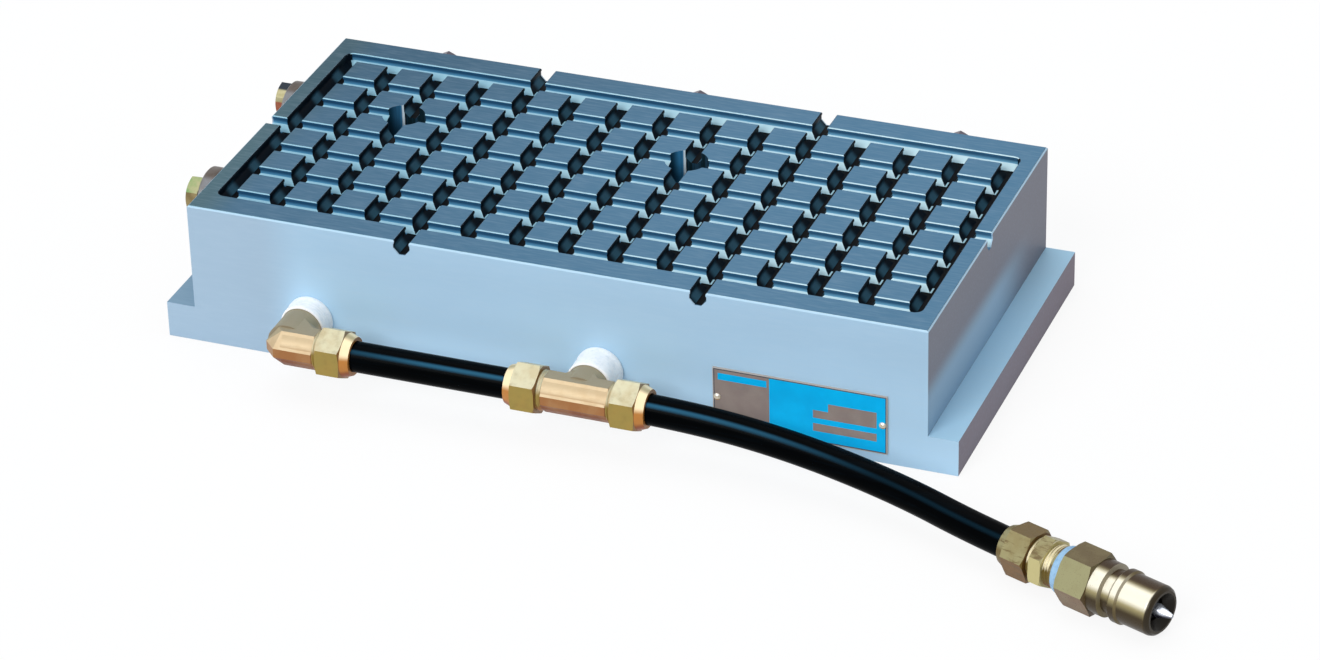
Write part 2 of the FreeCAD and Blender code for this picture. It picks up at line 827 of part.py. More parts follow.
def connector_place():
    """Centre of the connector, its local X pointing back along the hose."""
    turned = Placement(Vector(-value_of("plug_offset"), 0, 0), Rotation(Vector(0, 0, 1), 180))
    return coupling_place().multiply(turned)


def rolled(place, degrees):
    """A place turned about its own X axis."""
    return place.multiply(Placement(Vector(0, 0, 0), Rotation(Vector(1, 0, 0), degrees)))


def make_connector():
    """Straight connector: tube socket on one side, pipe thread into the plug on the other."""
    corner = "connector_flats / sqrt(3)"
    hex_start = "run_reach - connector_hex_length"
    stub_end = "-(plug_stub_engagement - plug_offset)"
    blank = turned_body(
        "connector_blank",
        [
            (stub_end, "run_bore / 2"),
            (stub_end, "port_stub / 2 - edge_break"),
            (f"{stub_end} + edge_break", "port_stub / 2"),
            ("plug_offset + 3.8", "port_stub / 2"),
            ("plug_offset + 4.4", "connector_neck / 2"),
            (hex_start, "connector_neck / 2"),
            (hex_start, f"{corner} - 0.9"),
            (f"{hex_start} + 0.5", corner),
            ("run_reach - 0.5", corner),
            ("run_reach", f"{corner} - 0.9"),
            ("run_reach", "thread_outside / 2"),
            ("thread_end - edge_break", "thread_outside / 2"),
            ("thread_end", "thread_outside / 2 - edge_break"),
            ("thread_end", "run_bore / 2"),
        ],
    )
    bar = hex_bar("connector_hex", "connector_flats", "connector_hex_length")
    bar.setExpression("Placement.Base.x", bound(hex_start))
    core = rod("connector_core", "port_stub / 2", "thread_end + plug_stub_engagement", ALONG_X)
    core.setExpression("Placement.Base.x", bound(stub_end))
    shaped = common_of("connector_shaped", blank, fuse_of("connector_bar", [bar, core]))
    body = cut_of("connector_body", shaped, socket_cutter("connector_socket"))
    finish(body, "connector_body", rolled(connector_place(), 3))
    make_compression_set("connector", rolled(connector_place(), -22))


def make_coupling_seal():
    """Sealing tape squeezed out between the connector and the plug."""
    bore = "port_stub / 2 + thread_clearance"
    seal = turned_body(
        "coupling_seal",
        [
            ("-(plug_offset + 3.3)", bore),
            ("-(plug_offset + 3.3)", f"{bore} + seal_thickness * 0.4"),
            ("-(plug_offset + 2.4)", f"{bore} + seal_thickness"),
            ("-0.6", f"{bore} + seal_thickness"),
            ("0", f"{bore} + seal_thickness * 0.5"),
            ("0", bore),
        ],
    )
    finish(seal, "coupling_seal", coupling_place())


def plug_stations():
    """Distances along the plug from its tail face, as formulas."""
    collar_end = "plug_hex_length + collar_length"
    groove_end = f"{collar_end} + latch_groove_length"
    ridge_start = f"{groove_end} + latch_slope"
    ridge_end = f"{ridge_start} + ridge_length"
    seat_end = "nose_length - (mouth - throat) / 2 * 1.2 - throat_length"
    return collar_end, groove_end, ridge_start, ridge_end, seat_end


def make_plug_body():
    """Coupling plug: hexagon, collar, latch groove, ridge and nose, bored for its valve."""
    collar_end, groove_end, ridge_start, ridge_end, seat_end = plug_stations()
    corner = "plug_flats / sqrt(3)"
    thread = "port_stub / 2 + thread_clearance"
    retainer_end = "plug_stub_engagement + retainer_thickness"
    seat_start = f"{seat_end} - seat_depth"
    blank = turned_body(
        "plug_blank",
        [
            ("0", thread),
            ("0", f"{corner} - plug_corner_break"),
            ("plug_corner_break / 2", corner),
            ("plug_hex_length - plug_corner_break / 2", corner),
            ("plug_hex_length", "plug_flats / 2 * 0.99"),
            ("plug_hex_length", "collar / 2"),
            (collar_end, "collar / 2"),
            (f"{collar_end} + 0.5", "latch_groove / 2"),
            (groove_end, "latch_groove / 2"),
            (ridge_start, "collar / 2"),
            (ridge_end, "collar / 2"),
            (f"{ridge_end} + latch_slope / 2", "nose / 2"),
            ("nose_length - nose_round", "nose / 2"),
            ("nose_length - nose_round * 0.45", "nose / 2 - nose_round * 0.2"),
            ("nose_length", "nose / 2 - nose_round * 0.7"),
            ("nose_length", "mouth / 2"),
            (f"{seat_end} + throat_length", "throat / 2"),
            (seat_end, "throat / 2"),
            (seat_start, "valve_bore / 2"),
            (retainer_end, "valve_bore / 2"),
            (retainer_end, "retainer_bore / 2"),
            ("plug_stub_engagement", "retainer_bore / 2"),
            ("plug_stub_engagement", thread),
        ],
    )
    bar = hex_bar("plug_hex", "plug_flats", "plug_hex_length")
    core = rod("plug_core", "collar / 2", "nose_length", ALONG_X)
    body = common_of("plug_body", blank, fuse_of("plug_bar", [bar, core]))
    finish(body, "plug_body", rolled(coupling_place(), 30))


def make_spring_retainer():
    """Perforated disc behind the valve: it guides the stem and carries the spring."""
    body = DOC.addObject("PartDesign::Body", "spring_retainer")
    sketch = add_sketch(body, "retainer_outline", "YZ_Plane", z="plug_stub_engagement")
    draw_circle(sketch, "0", "0", "retainer_bore / 2 - retainer_clearance")
    draw_circle(sketch, "0", "0", "poppet_stem / 2 + stem_clearance")
    disc = body.newObject("PartDesign::Pad", "retainer_disc")
    disc.Profile = sketch
    bind(disc, Length="retainer_thickness")
    DOC.recompute()
    port = add_sketch(body, "retainer_port_outline", "YZ_Plane", z="plug_stub_engagement")
    draw_circle(port, "retainer_port_circle / 2", "0", "retainer_port / 2")
    hole = body.newObject("PartDesign::Pocket", "retainer_hole")
    hole.Profile = port
    hole.Type = 0
    hole.Reversed = True
    bind(hole, Length="retainer_thickness")
    DOC.recompute()
    pattern = body.newObject("PartDesign::PolarPattern", "retainer_holes")
    pattern.Originals = [hole]
    pattern.Axis = (port, ["N_Axis"])
    pattern.Angle = 360
    bind(pattern, Occurrences="retainer_ports")
    body.Tip = pattern
    DOC.recompute()
    finish(body, "spring_retainer", coupling_place())


def make_poppet():
    """Valve poppet: stem, spring head, hub for its seal and the pointed tip in the plug's mouth."""
    seat_end = plug_stations()[4]
    seal_back = f"{seat_end} - seat_depth - poppet_gap - 1.2"
    head_back = f"{seal_back} - poppet_head_length"
    head_radius = "valve_bore / 2 - poppet_gap"
    point = "nose_length + poppet_overhang"
    poppet = turned_body(
        "poppet",
        [
            ("plug_stub_engagement - 1", "0"),
            ("plug_stub_engagement - 1", "poppet_stem / 2"),
            (head_back, "poppet_stem / 2"),
            (head_back, head_radius),
            (seal_back, head_radius),
            (seal_back, "poppet_hub / 2"),
            (seat_end, "poppet_hub / 2"),
            (seat_end, "poppet_tip / 2"),
            (f"{point} - poppet_cone_length", "poppet_tip / 2"),
            (point, "poppet_point / 2"),
            (point, "0"),
        ],
    )
    finish(poppet, "poppet", coupling_place())
    seal = turned_body(
        "poppet_seal",
        [
            (seal_back, "poppet_hub / 2 + shank_clearance"),
            (seal_back, head_radius),
            (f"{seat_end} - seat_depth - poppet_gap * 0.4", head_radius),
            (f"{seat_end} - poppet_gap * 1.4", "throat / 2 + poppet_gap * 0.5"),
            (f"{seat_end} - poppet_gap * 1.4", "poppet_hub / 2 + shank_clearance"),
        ],
    )
    finish(seal, "poppet_seal", coupling_place())
    make_poppet_spring(head_back)


def make_poppet_spring(head_back):
    """Compression spring between the retainer and the poppet's head: eight-sided half-turns in tilted planes."""
    wire = value_of("spring_wire") / 2
    coil = value_of("spring_coil") / 2
    start = value_of("plug_stub_engagement + retainer_thickness") + wire + SPRING_END_GAP
    length = value_of(head_back) - wire - SPRING_END_GAP - start
    half_turns = 2 * round(value_of("spring_turns"))
    rise = length / half_turns
    pieces = []
    for number in range(half_turns):
        side = 1 if number % 2 == 0 else -1
        begin = Vector(side * coil, 0, number * rise)
        centre = Vector(0, 0, (number + 0.5) * rise)
        axis = (begin - centre).cross(Vector(0, side, 0))
        corners = [begin + Vector(wire * math.cos(turn), 0, wire * math.sin(turn)) for turn in EIGHTHS]
        section = Part.Face(Part.makePolygon(corners + corners[:1]))
        pieces.append(section.revolve(centre, axis, 180))
    spring = DOC.addObject("Part::Feature", "poppet_spring")
    spring.Shape = pieces[0].multiFuse(pieces[1:])
    along = Placement(Vector(start, 0, 0), ALONG_X)
    finish(spring, "poppet_spring", coupling_place().multiply(along))


# Nylon hose from the tee to the coupling


def hose_route():
    """The route's points: out of the tee, along the floor's side and into the connector."""
    tee = fitting_place("right_port")
    seat = value_of("tube_seat")
    start = tee + Vector(seat, 0, 0)
    lead = coupling_place().multVec(Vector(-HOSE_LEAD_OUT, 0, 0))
    end = connector_place().multVec(Vector(seat, 0, 0))
    straight = tee + Vector(HOSE_STRAIGHT, 0, 0)
    return [start, straight] + [Vector(*point) for point in HOSE_MIDDLE] + [lead, end]


def rounded_path(points):
    """Straight runs joined by tangent arcs, each as large as 0.45 of its shorter run allows."""
    edges = []
    radii = []
    here = points[0]
    for before, corner, after in zip(points, points[1:], points[2:]):
        back = (before - corner).normalize()
        ahead = (after - corner).normalize()
        reach = 0.45 * min((before - corner).Length, (after - corner).Length)
        half_turn = (math.pi - back.getAngle(ahead)) / 2
        radius = reach / math.tan(half_turn)
        start = corner + back * reach
        end = corner + ahead * reach
        inward = (back + ahead).normalize()
        middle = corner + inward * (math.hypot(reach, radius) - radius)
        edges.append(Part.LineSegment(here, start).toShape())
        edges.append(Part.Arc(start, middle, end).toShape())
        radii.append(radius)
        here = end
    edges.append(Part.LineSegment(here, points[-1]).toShape())
    return Part.Wire(edges), radii


def make_hose():
    """Hose tube: an outer sweep with the bore's sweep cut out of it."""
    points = hose_route()
    path, radii = rounded_path(points)
    direction = points[1] - points[0]
    sweeps = []
    for diameter in ("tube_outside", "tube_inside"):
        ring = Part.Wire([Part.makeCircle(value_of(diameter) / 2, points[0], direction)])
        sweeps.append(path.makePipeShell([ring], True, False))
    hose = DOC.addObject("Part::Feature", "hose")
    hose.Shape = sweeps[0].cut(sweeps[1])
    finish(hose, "hose", Placement())
    section = math.pi / 4 * (value_of("tube_outside") ** 2 - value_of("tube_inside") ** 2)
    print("hose bend radii, mm:", [round(radius) for radius in radii])
    print("hose length, mm:", round(path.Length, 2))
    print("hose volume over section x length:", round(hose.Shape.Volume / (section * path.Length), 4))


def check_model():
    """Stop if any object failed or any sub-part is empty or invalid."""
    DOC.recompute()
    failed = [thing.Name for thing in DOC.Objects if {"Invalid", "Error"} & set(thing.State)]
    for node in NODES:
        if node.Shape.isNull() or not node.Shape.isValid() or not node.Shape.Solids:
            failed.append(node.Label)
    if failed:
        raise RuntimeError(f"these objects failed: {failed}")


def export_nodes():
    os.makedirs("parts", exist_ok=True)
    for node in NODES:
        node.Shape.exportStep(f"parts/{node.Label}.step")
        print(f"{node.Label}: {len(node.Shape.Solids)} solid, {node.Shape.Volume:.1f} mm3")


make_chuck_body()
make_name_plate()
make_stops()
make_elbow()
make_tee()
make_link_tube()
make_connector()
make_coupling_seal()
make_plug_body()
make_spring_retainer()
make_poppet()
make_hose()
check_model()
export_nodes()
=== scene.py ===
# %% [markdown]
# # Vacuum chuck
#
# The real object is a steel block whose top is cut by a grid of undercut grooves. A sealing cord is
# pressed into the grooves, a flat workpiece is laid on it, and air is drawn out through two holes.
# A brass elbow and a brass tee join the two ports, and a black nylon hose leads to a valved plug.
#
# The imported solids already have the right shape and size, so this lesson starts from them. It gives
# every solid its finish, and it adds what the solids leave plain: screw threads, wound thread tape,
# the valve's spring and the hose's own curve. Everything is in metres, in the frame of the solids:
# X runs along the block, Y from the port side to the rear, and Z up.

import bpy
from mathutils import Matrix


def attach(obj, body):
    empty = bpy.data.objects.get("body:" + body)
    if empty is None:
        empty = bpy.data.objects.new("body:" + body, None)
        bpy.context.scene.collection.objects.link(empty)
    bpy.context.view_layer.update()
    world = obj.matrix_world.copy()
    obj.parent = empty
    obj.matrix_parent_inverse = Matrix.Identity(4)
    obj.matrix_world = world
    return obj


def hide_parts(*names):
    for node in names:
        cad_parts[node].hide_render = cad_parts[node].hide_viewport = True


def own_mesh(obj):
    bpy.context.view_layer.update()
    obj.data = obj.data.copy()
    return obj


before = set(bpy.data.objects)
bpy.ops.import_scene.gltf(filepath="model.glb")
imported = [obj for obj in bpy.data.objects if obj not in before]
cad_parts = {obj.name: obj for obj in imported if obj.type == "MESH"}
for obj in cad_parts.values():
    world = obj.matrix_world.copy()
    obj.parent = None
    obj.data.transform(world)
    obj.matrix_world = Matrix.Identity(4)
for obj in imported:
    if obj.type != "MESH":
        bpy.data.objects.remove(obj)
print("solids loaded:", len(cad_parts))

# %% [markdown]
# ## Names and units
#
# The solids are kept under a short name. A maker thinks in millimetres, so one millimetre gets a
# name.

import bpy
import numpy as np
from mathutils import Euler, Vector

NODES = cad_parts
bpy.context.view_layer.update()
MM = 0.001

# %% [markdown]
# ## Small helpers for node materials
#
# A finish on this object is never one flat colour. A ground face has fine scratches, forged brass
# is duller on its sides, and zinc plating shifts in hue. Those effects are built from nodes. They
# could be wired by hand in the shader editor, but a few helpers keep each material short and easy
# to repeat. Colours are written as the hex values that an eye would name, and turned into linear
# light.

# %% Node helpers


def linear(hex_colour):
    """A hex colour as linear light: ((c + 0.055) / 1.055) ** 2.4 above 0.04045, with alpha 1."""
    channels = np.array([int(hex_colour[i : i + 2], 16) for i in (1, 3, 5)]) / 255
    light = np.where(channels <= 0.04045, channels / 12.92, ((channels + 0.055) / 1.055) ** 2.4)
    return (*(float(value) for value in light), 1.0)


def fill(tree, socket, value):
    """Links an output into a socket, or writes a plain value; a hex colour is turned into light."""
    if isinstance(value, bpy.types.NodeSocket):
        tree.links.new(value, socket)
    else:
        socket.default_value = linear(value) if isinstance(value, str) else value


def add(tree, kind, settings=None, **inputs):
    """Adds a node, sets its properties, and fills its sockets with values or links."""
    made = tree.nodes.new(kind)
    for name, value in (settings or {}).items():
        setattr(made, name, value)
    for name, value in inputs.items():
        fill(tree, made.inputs[name.replace("_", " ")], value)
    return made


print("mid grey in linear light:", round(linear("#808080")[0], 3))

# %% [markdown]
# ## Sums
#
# Places and directions are numbers, so a finish can be worked out from them. One node does one step
# of arithmetic. With a helper for each step, a formula reads almost as it would on paper.

# %% Sums


def sums(tree, operation, first, second=0.0):
    """One step of arithmetic."""
    made = add(tree, "ShaderNodeMath", {"operation": operation})
    fill(tree, made.inputs[0], first)
    fill(tree, made.inputs[1], second)
    return made.outputs[0]


def times(tree, first, *others):
    """The product of masks or numbers."""
    for other in others:
        first = sums(tree, "MULTIPLY", first, other)
    return first


def size_of(tree, value):
    """A value without its sign."""
    return sums(tree, "ABSOLUTE", value)


print("helpers for sums: sums, times, size_of")

# %% [markdown]
# ## Masks
#
# A mask is a number from 0 to 1 that says where something is. It comes from comparing a value with
# a mark, either sharply or with a smooth step, and two masks multiplied hold where both do. A mask
# then mixes two colours. Painted image masks would do the same, but these need no image file and
# stay sharp however close the camera comes.

# %% Masks


def above(tree, value, mark):
    """1 where a value is greater than a mark."""
    return sums(tree, "GREATER_THAN", value, mark)


def below(tree, value, mark):
    """1 where a value is less than a mark."""
    return sums(tree, "LESS_THAN", value, mark)


def near_zero(tree, value, limit):
    """1 where a value is nearer to zero than the limit."""
    return below(tree, size_of(tree, value), limit)


def ease(tree, value, low, high, start=0.0, end=1.0):
    """A smooth step of a value from start at low to end at high."""
    made = add(tree, "ShaderNodeMapRange", {"interpolation_type": "SMOOTHSTEP"}, Value=value)
    for name, number in (("From Min", low), ("From Max", high), ("To Min", start), ("To Max", end)):
        fill(tree, made.inputs[name], number)
    return made.outputs["Result"]


def between(tree, value, low, high, soft=None):
    """1 between two marks, with sharp edges, or with edges that slope outwards by soft."""
    if soft is None:
        return times(tree, above(tree, value, low), below(tree, value, high))
    return times(tree, ease(tree, value, low - soft, low), ease(tree, value, high + soft, high))


def mix(tree, factor, first, second, blend="MIX"):
    """Two colours mixed by a factor."""
    made = add(tree, "ShaderNodeMix", {"data_type": "RGBA", "blend_type": blend})
    for index, value in ((0, factor), (6, first), (7, second)):
        fill(tree, made.inputs[index], value)
    return made.outputs[2]


print("helpers for masks: above, below, near_zero, ease, between, mix")

# %% [markdown]
# ## Places, directions and groups
#
# A material can ask where a point lies on the piece (Object coordinates) and which way its face
# looks (the normal). All pieces keep their origin at the frame's origin, so both are in the frame
# of the solids. An effect that several finishes share becomes a node group with named sockets.

# %% Places, directions and groups


def parts_of(tree, coordinate):
    """X, Y and Z of a texture coordinate: Object is the place, Normal the way a face looks."""
    source = add(tree, "ShaderNodeTexCoord").outputs[coordinate]
    return add(tree, "ShaderNodeSeparateXYZ", Vector=source).outputs


def vectors(tree, operation, first, second=(0.0, 0.0, 0.0)):
    """One step of vector arithmetic; returns the node's outputs."""
    made = add(tree, "ShaderNodeVectorMath", {"operation": operation})
    fill(tree, made.inputs[0], first)
    fill(tree, made.inputs[1], second)
    return made.outputs


def looks_along(tree, direction):
    """How squarely a face looks along a fixed direction: the dot product with its normal."""
    normal = add(tree, "ShaderNodeTexCoord").outputs["Normal"]
    return vectors(tree, "DOT_PRODUCT", normal, direction)["Value"]


def new_group(name, inputs, outputs):
    """An empty shader node group with named sockets, and its input and output nodes."""
    tree = bpy.data.node_groups.new(name, "ShaderNodeTree")
    for direction, sockets in (("INPUT", inputs), ("OUTPUT", outputs)):
        for socket, kind in sockets.items():
            tree.interface.new_socket(socket, in_out=direction, socket_type=kind)
    return tree, tree.nodes.new("NodeGroupInput").outputs, tree.nodes.new("NodeGroupOutput").inputs


def use(tree, group, **inputs):
    """Places a group in a material with its own values."""
    made = tree.nodes.new("ShaderNodeGroup")
    made.node_tree = group
    for name, value in inputs.items():
        fill(tree, made.inputs[name.replace("_", " ")], value)
    return made.outputs


COLOUR, NUMBER, VECTOR = "NodeSocketColor", "NodeSocketFloat", "NodeSocketVector"
print("kinds of socket:", COLOUR, NUMBER, VECTOR)

# %% [markdown]
# ## Facing tone
#
# On a real machined piece, ground tops, forged shoulders and sawn or bright sides don't look alike,
# and light falls on each of them differently, so the tones that this group gives are partly each
# face's own finish and partly painted light and shade. One material for each face would do it too,
# but with hard edges between them. This group picks a tone by the way that a face looks: front
# first, then the ends, the shoulders, the top and the underside over it, each with a soft step.

# %% Facing tone
FACINGS = ("Top", "Shoulder", "Front", "End", "Under")
FACING, given, out = new_group("facing_tone", dict.fromkeys(FACINGS, COLOUR), {"Colour": COLOUR})
normal = parts_of(FACING, "Normal")
sideways = size_of(FACING, normal["X"])
tone = mix(FACING, ease(FACING, sideways, 0.6, 0.85), given["Front"], given["End"])
tone = mix(FACING, ease(FACING, normal["Z"], 0.2, 0.5), tone, given["Shoulder"])
tone = mix(FACING, ease(FACING, normal["Z"], 0.88, 0.97), tone, given["Top"])
tone = mix(FACING, ease(FACING, normal["Z"], -0.2, -0.5), tone, given["Under"])
fill(FACING, out["Colour"], tone)
print(FACING.name, "nodes:", len(FACING.nodes))


def tones(tree, *colours):
    """The facing tone of five hex colours: top, shoulder, front, end and under."""
    return use(tree, FACING, **dict(zip(FACINGS, colours)))["Colour"]


# %% [markdown]
# ## Grain and blotches
#
# Grain is the fine texture that grinding, turning or extrusion leaves. It is noise on coordinates
# that are multiplied along each axis: a small number there draws it out along that axis. Blotches
# are the broad, soft patches of oil film and handling, made by a smooth step of coarse noise. A
# photographed texture would repeat or blur close up; noise does neither.

# %% Grain and blotches
GRAIN_SOCKETS = ("Scale", "Along X", "Along Y", "Along Z")
GRAIN, given, out = new_group("grain", dict.fromkeys(GRAIN_SOCKETS, NUMBER), {"Height": NUMBER})
stretch = add(
    GRAIN, "ShaderNodeCombineXYZ", X=given["Along X"], Y=given["Along Y"], Z=given["Along Z"]
)
point = add(GRAIN, "ShaderNodeTexCoord").outputs["Object"]
fine = add(
    GRAIN, "ShaderNodeTexNoise", Vector=vectors(GRAIN, "MULTIPLY", point, stretch.outputs[0])[0],
    Scale=given["Scale"], Detail=4.0, Roughness=0.6,
)
fill(GRAIN, out["Height"], fine.outputs["Fac"])

BLOTCH, given, out = new_group(
    "blotches", dict.fromkeys(("Scale", "Low", "High"), NUMBER), {"Mask": NUMBER}
)
soft = add(
    BLOTCH, "ShaderNodeTexNoise", Vector=add(BLOTCH, "ShaderNodeTexCoord").outputs["Object"],
    Scale=given["Scale"], Detail=5.0, Roughness=0.55,
)
fill(BLOTCH, out["Mask"], ease(BLOTCH, soft.outputs["Fac"], given["Low"], given["High"]))
print(GRAIN.name, "and", BLOTCH.name, "nodes:", len(GRAIN.nodes), len(BLOTCH.nodes))


def grain(tree, scale, x=1.0, y=1.0, z=1.0):
    """Grain of a scale; a small x, y or z draws it out along that axis."""
    return use(tree, GRAIN, Scale=scale, Along_X=x, Along_Y=y, Along_Z=z)["Height"]


def blotches(tree, scale, low, high):
    """Soft patches of a scale, where the noise passes from low to high."""
    return use(tree, BLOTCH, Scale=scale, Low=low, High=high)["Mask"]


# %% [markdown]
# ## Field
#
# A rectangle on an upright face, in X and Z. The nameplate's colour fields are made of such
# rectangles, so their edges are exact and need no image.

# %% Field on an upright face
FIELD, given, out = new_group(
    "field", dict.fromkeys(("Left", "Right", "Low", "High"), NUMBER), {"Mask": NUMBER}
)
spot = parts_of(FIELD, "Object")
columns = between(FIELD, spot["X"], given["Left"], given["Right"])
rows = between(FIELD, spot["Z"], given["Low"], given["High"])
fill(FIELD, out["Mask"], times(FIELD, columns, rows))
print(FIELD.name, "nodes:", len(FIELD.nodes))

# %% [markdown]
# ## A material with its shader
#
# Every finish is one Principled shader. Metal that stands in white surroundings mirrors them and
# looks washed out, so the metals here are only partly metallic and their tones come from the base
# colour. A bump from the grain breaks up the highlights, by hundredths of a millimetre.

# %% A material with its shader


def new_material(name, metallic, roughness, specular=0.35):
    """A material with one Principled shader; returns the material, its tree and the shader."""
    material = bpy.data.materials.new(name)
    material.use_nodes = True
    tree = material.node_tree
    shader = next(node for node in tree.nodes if node.type == "BSDF_PRINCIPLED")
    shader.inputs["Metallic"].default_value = metallic
    shader.inputs["Roughness"].default_value = roughness
    shader.inputs["Specular IOR Level"].default_value = specular
    return material, tree, shader


def bump(tree, shader, height, strength, distance):
    """Raises the surface by a height map: strength of the effect, and distance in metres."""
    made = add(tree, "ShaderNodeBump", Strength=strength, Distance=distance, Height=height)
    fill(tree, shader.inputs["Normal"], made.outputs["Normal"])


def paint(material, shader, colour):
    """Gives the shader its base colour and prints how many nodes the finish takes."""
    fill(material.node_tree, shader.inputs["Base Color"], colour)
    print(material.name, "nodes:", len(material.node_tree.nodes))


print("materials so far:", len(bpy.data.materials))

# %% [markdown]
# ## The block's ground steel
#
# The block is surface-ground steel with a cool blue cast. Light and shade are painted on it by the
# way that a face looks: the working face and the rims are darker, the long sides lighter, and the
# short ends a warm grey. An end gets a painted paler patch towards its foot at the front, where the
# bench shines on it, and the left flange gets painted shade, darker than the right one. A fully
# metallic shader would turn white here, so each way that a face looks gets a tone of its own.

# %% Outer faces of the block
STEEL, tree, shader = new_material(
    "block_ground_steel", metallic=0.1, roughness=0.45, specular=0.04
)
spot, facing = parts_of(tree, "Object"), parts_of(tree, "Normal")
FLANGE_TOP = 15.1 * MM
TOP, SHOULDER, SIDE, UNDER = "#4E7895", "#AECCE0", "#A4C3DA", "#6B7F93"

level_face = above(tree, facing["Z"], 0.9)
# Tones by facing: painted light and shade on the steel's blue cast, the long sides lit, the top
# darker.
faces = tones(tree, TOP, SHOULDER, SIDE, "#7B7A84", UNDER)
# A painted paler patch of light at the foot of the short end, towards the front.
lit_end_foot = times(
    tree, ease(tree, spot["Z"], 40 * MM, 28 * MM), ease(tree, spot["Y"], 58 * MM, 5 * MM)
)
faces = mix(tree, lit_end_foot, faces, tones(tree, TOP, SHOULDER, SIDE, "#92B0C8", UNDER))
# The flange tops are painted lighter, and the left one gets painted shade.
flange = tones(tree, "#AED6EE", "#A9CBE0", SIDE, "#7A6F7A", UNDER)
shaded_left_flange = times(tree, below(tree, spot["X"], 0.0), level_face)
flange = mix(tree, shaded_left_flange, flange, "#8FB2CA")
faces = mix(tree, below(tree, spot["Z"], FLANGE_TOP), faces, flange)
print("outer faces, nodes so far:", len(tree.nodes))

# %% [markdown]
# ## Light that falls off over the block
#
# A large ground face never has one tone. The top is darker towards the rear left corner, its left
# rim is a duller grey, and the long side is lifted towards its foot and dimmed at its left end.
# Lamps could do this, but each would change the other faces too, so these are slow mixes by place.

# %% Slow changes over the block
rearward = sums(tree, "SUBTRACT", spot["Y"], times(tree, spot["X"], 0.4))
rear_gloom = times(tree, ease(tree, rearward, 20 * MM, 130 * MM, 0.0, 0.55), level_face)
faces = mix(tree, rear_gloom, faces, "#36586E")
left_gloom = times(tree, ease(tree, spot["X"], 60 * MM, -150 * MM), level_face)
faces = mix(tree, left_gloom, faces, "#E6E4E4", "MULTIPLY")

left_rim = times(
    tree, ease(tree, spot["X"], -129 * MM, -147 * MM), level_face, above(tree, spot["Z"], 20 * MM)
)
rim_grey = mix(tree, ease(tree, spot["Y"], -20 * MM, 60 * MM), "#4A666E", "#3A5660")
faces = mix(tree, times(tree, left_rim, 0.9), faces, rim_grey)

LEFT_END = (-122 * MM, -100 * MM)
long_side = below(tree, facing["Y"], -0.9)
lift = times(tree, ease(tree, spot["Z"], 52 * MM, 24 * MM), ease(tree, spot["X"], *LEFT_END))
faces = mix(tree, times(tree, long_side, lift), faces, "#B6D8F0")
dim = ease(tree, spot["X"], *LEFT_END[::-1])
faces = mix(tree, times(tree, long_side, dim), faces, "#A0B8CC")
print("slow changes, nodes so far:", len(tree.nodes))

# %% [markdown]
# ## Grooves in the steel
#
# The grooves were milled and never ground. Their darkness is painted shade, and their small lip
# chamfers get a painted highlight. A mask finds them by place: inside the rim and just under the
# working face. They lie at whole multiples of the pitch, so the distance from the nearest groove is
# the place wrapped round half a pitch. Walls that look along X are painted nearly black with a
# painted soft sheen, walls that look forward get a painted pale reflection at the bottom, the floor
# is painted pale in the grooves along X and black in those along Y, and a painted glint lies on
# the floor where two grooves cross. All these painted lights are dimmer towards the left.

# %% Grooves
HALF_LENGTH, HALF_WIDTH, WORK_FACE, PITCH = 149.5 * MM, 74.5 * MM, 60 * MM, 20 * MM


def down(depth):
    """The height of a point that lies a depth in millimetres below the working face."""
    return WORK_FACE - depth * MM


def from_groove(tree, value):
    """Signed distance from the nearest groove's middle, a whole multiple of the pitch."""
    wrapped = add(tree, "ShaderNodeMath", {"operation": "WRAP"})
    for index, number in ((0, value), (1, PITCH / 2), (2, -PITCH / 2)):
        fill(tree, wrapped.inputs[index], number)
    return wrapped.outputs[0]


within = times(
    tree, near_zero(tree, spot["X"], HALF_LENGTH), near_zero(tree, spot["Y"], HALF_WIDTH)
)
groove = times(tree, within, below(tree, spot["Z"], down(0.02)))
across, along = from_groove(tree, spot["X"]), from_groove(tree, spot["Y"])
# Painted reflection on walls that look forward: pale low down, mid-blue higher, and a painted
# highlight on the lip chamfer.
front_wall = mix(tree, ease(tree, spot["Z"], down(3.4), down(1.4)), "#8CC6EC", "#3C688C")
front_wall = mix(tree, above(tree, facing["Z"], 0.25), front_wall, "#D8EEFA")
# A painted soft sheen on the walls that look along X, which are painted nearly black.
sheen = times(
    tree, ease(tree, size_of(tree, along), 5 * MM, 9 * MM),
    ease(tree, spot["Z"], down(1.5), down(3)),
)
side_wall = mix(tree, times(tree, sheen, 0.8), "#0A151F", "#3E6A80")
# A painted glint on the floor where two grooves cross; the floor is painted pale along X and black
# along Y.
crossing = near_zero(tree, sums(tree, "SUBTRACT", along, 3.1 * MM), 1.9 * MM)
floor_glint = times(tree, below(tree, across, -0.6 * MM), crossing)
bottom = mix(tree, near_zero(tree, across, 4.6 * MM), "#6C9CBE", "#0B0C10")
bottom = mix(tree, floor_glint, bottom, "#BFE2F4")

# The painted lights in the grooves are dimmer towards the left.
light_left_to_right = mix(tree, ease(tree, spot["X"], -140 * MM, 140 * MM), "#B1D0D8", "#E4EDEA")
front_wall = mix(tree, 1.0, front_wall, light_left_to_right, "MULTIPLY")
bottom = mix(tree, 1.0, bottom, light_left_to_right, "MULTIPLY")
walls = mix(tree, above(tree, size_of(tree, facing["X"]), 0.45), front_wall, side_wall)
walls = mix(tree, above(tree, facing["Z"], 0.95), walls, bottom)
faces = mix(tree, groove, faces, walls)
print("grooves, nodes so far:", len(tree.nodes))

# %% [markdown]
# ## Suction holes in the steel
#
# A bored wall mirrors its surroundings in upright streaks. Where it looks to the right it is blue
# and falls off to dark, and one narrow glare runs down it. A mirror finish would show the studio
# instead, so the streaks are drawn by the way the wall looks. The mask keeps to walls near the two
# holes' axes, so the grooves that cut into them stay as they are.

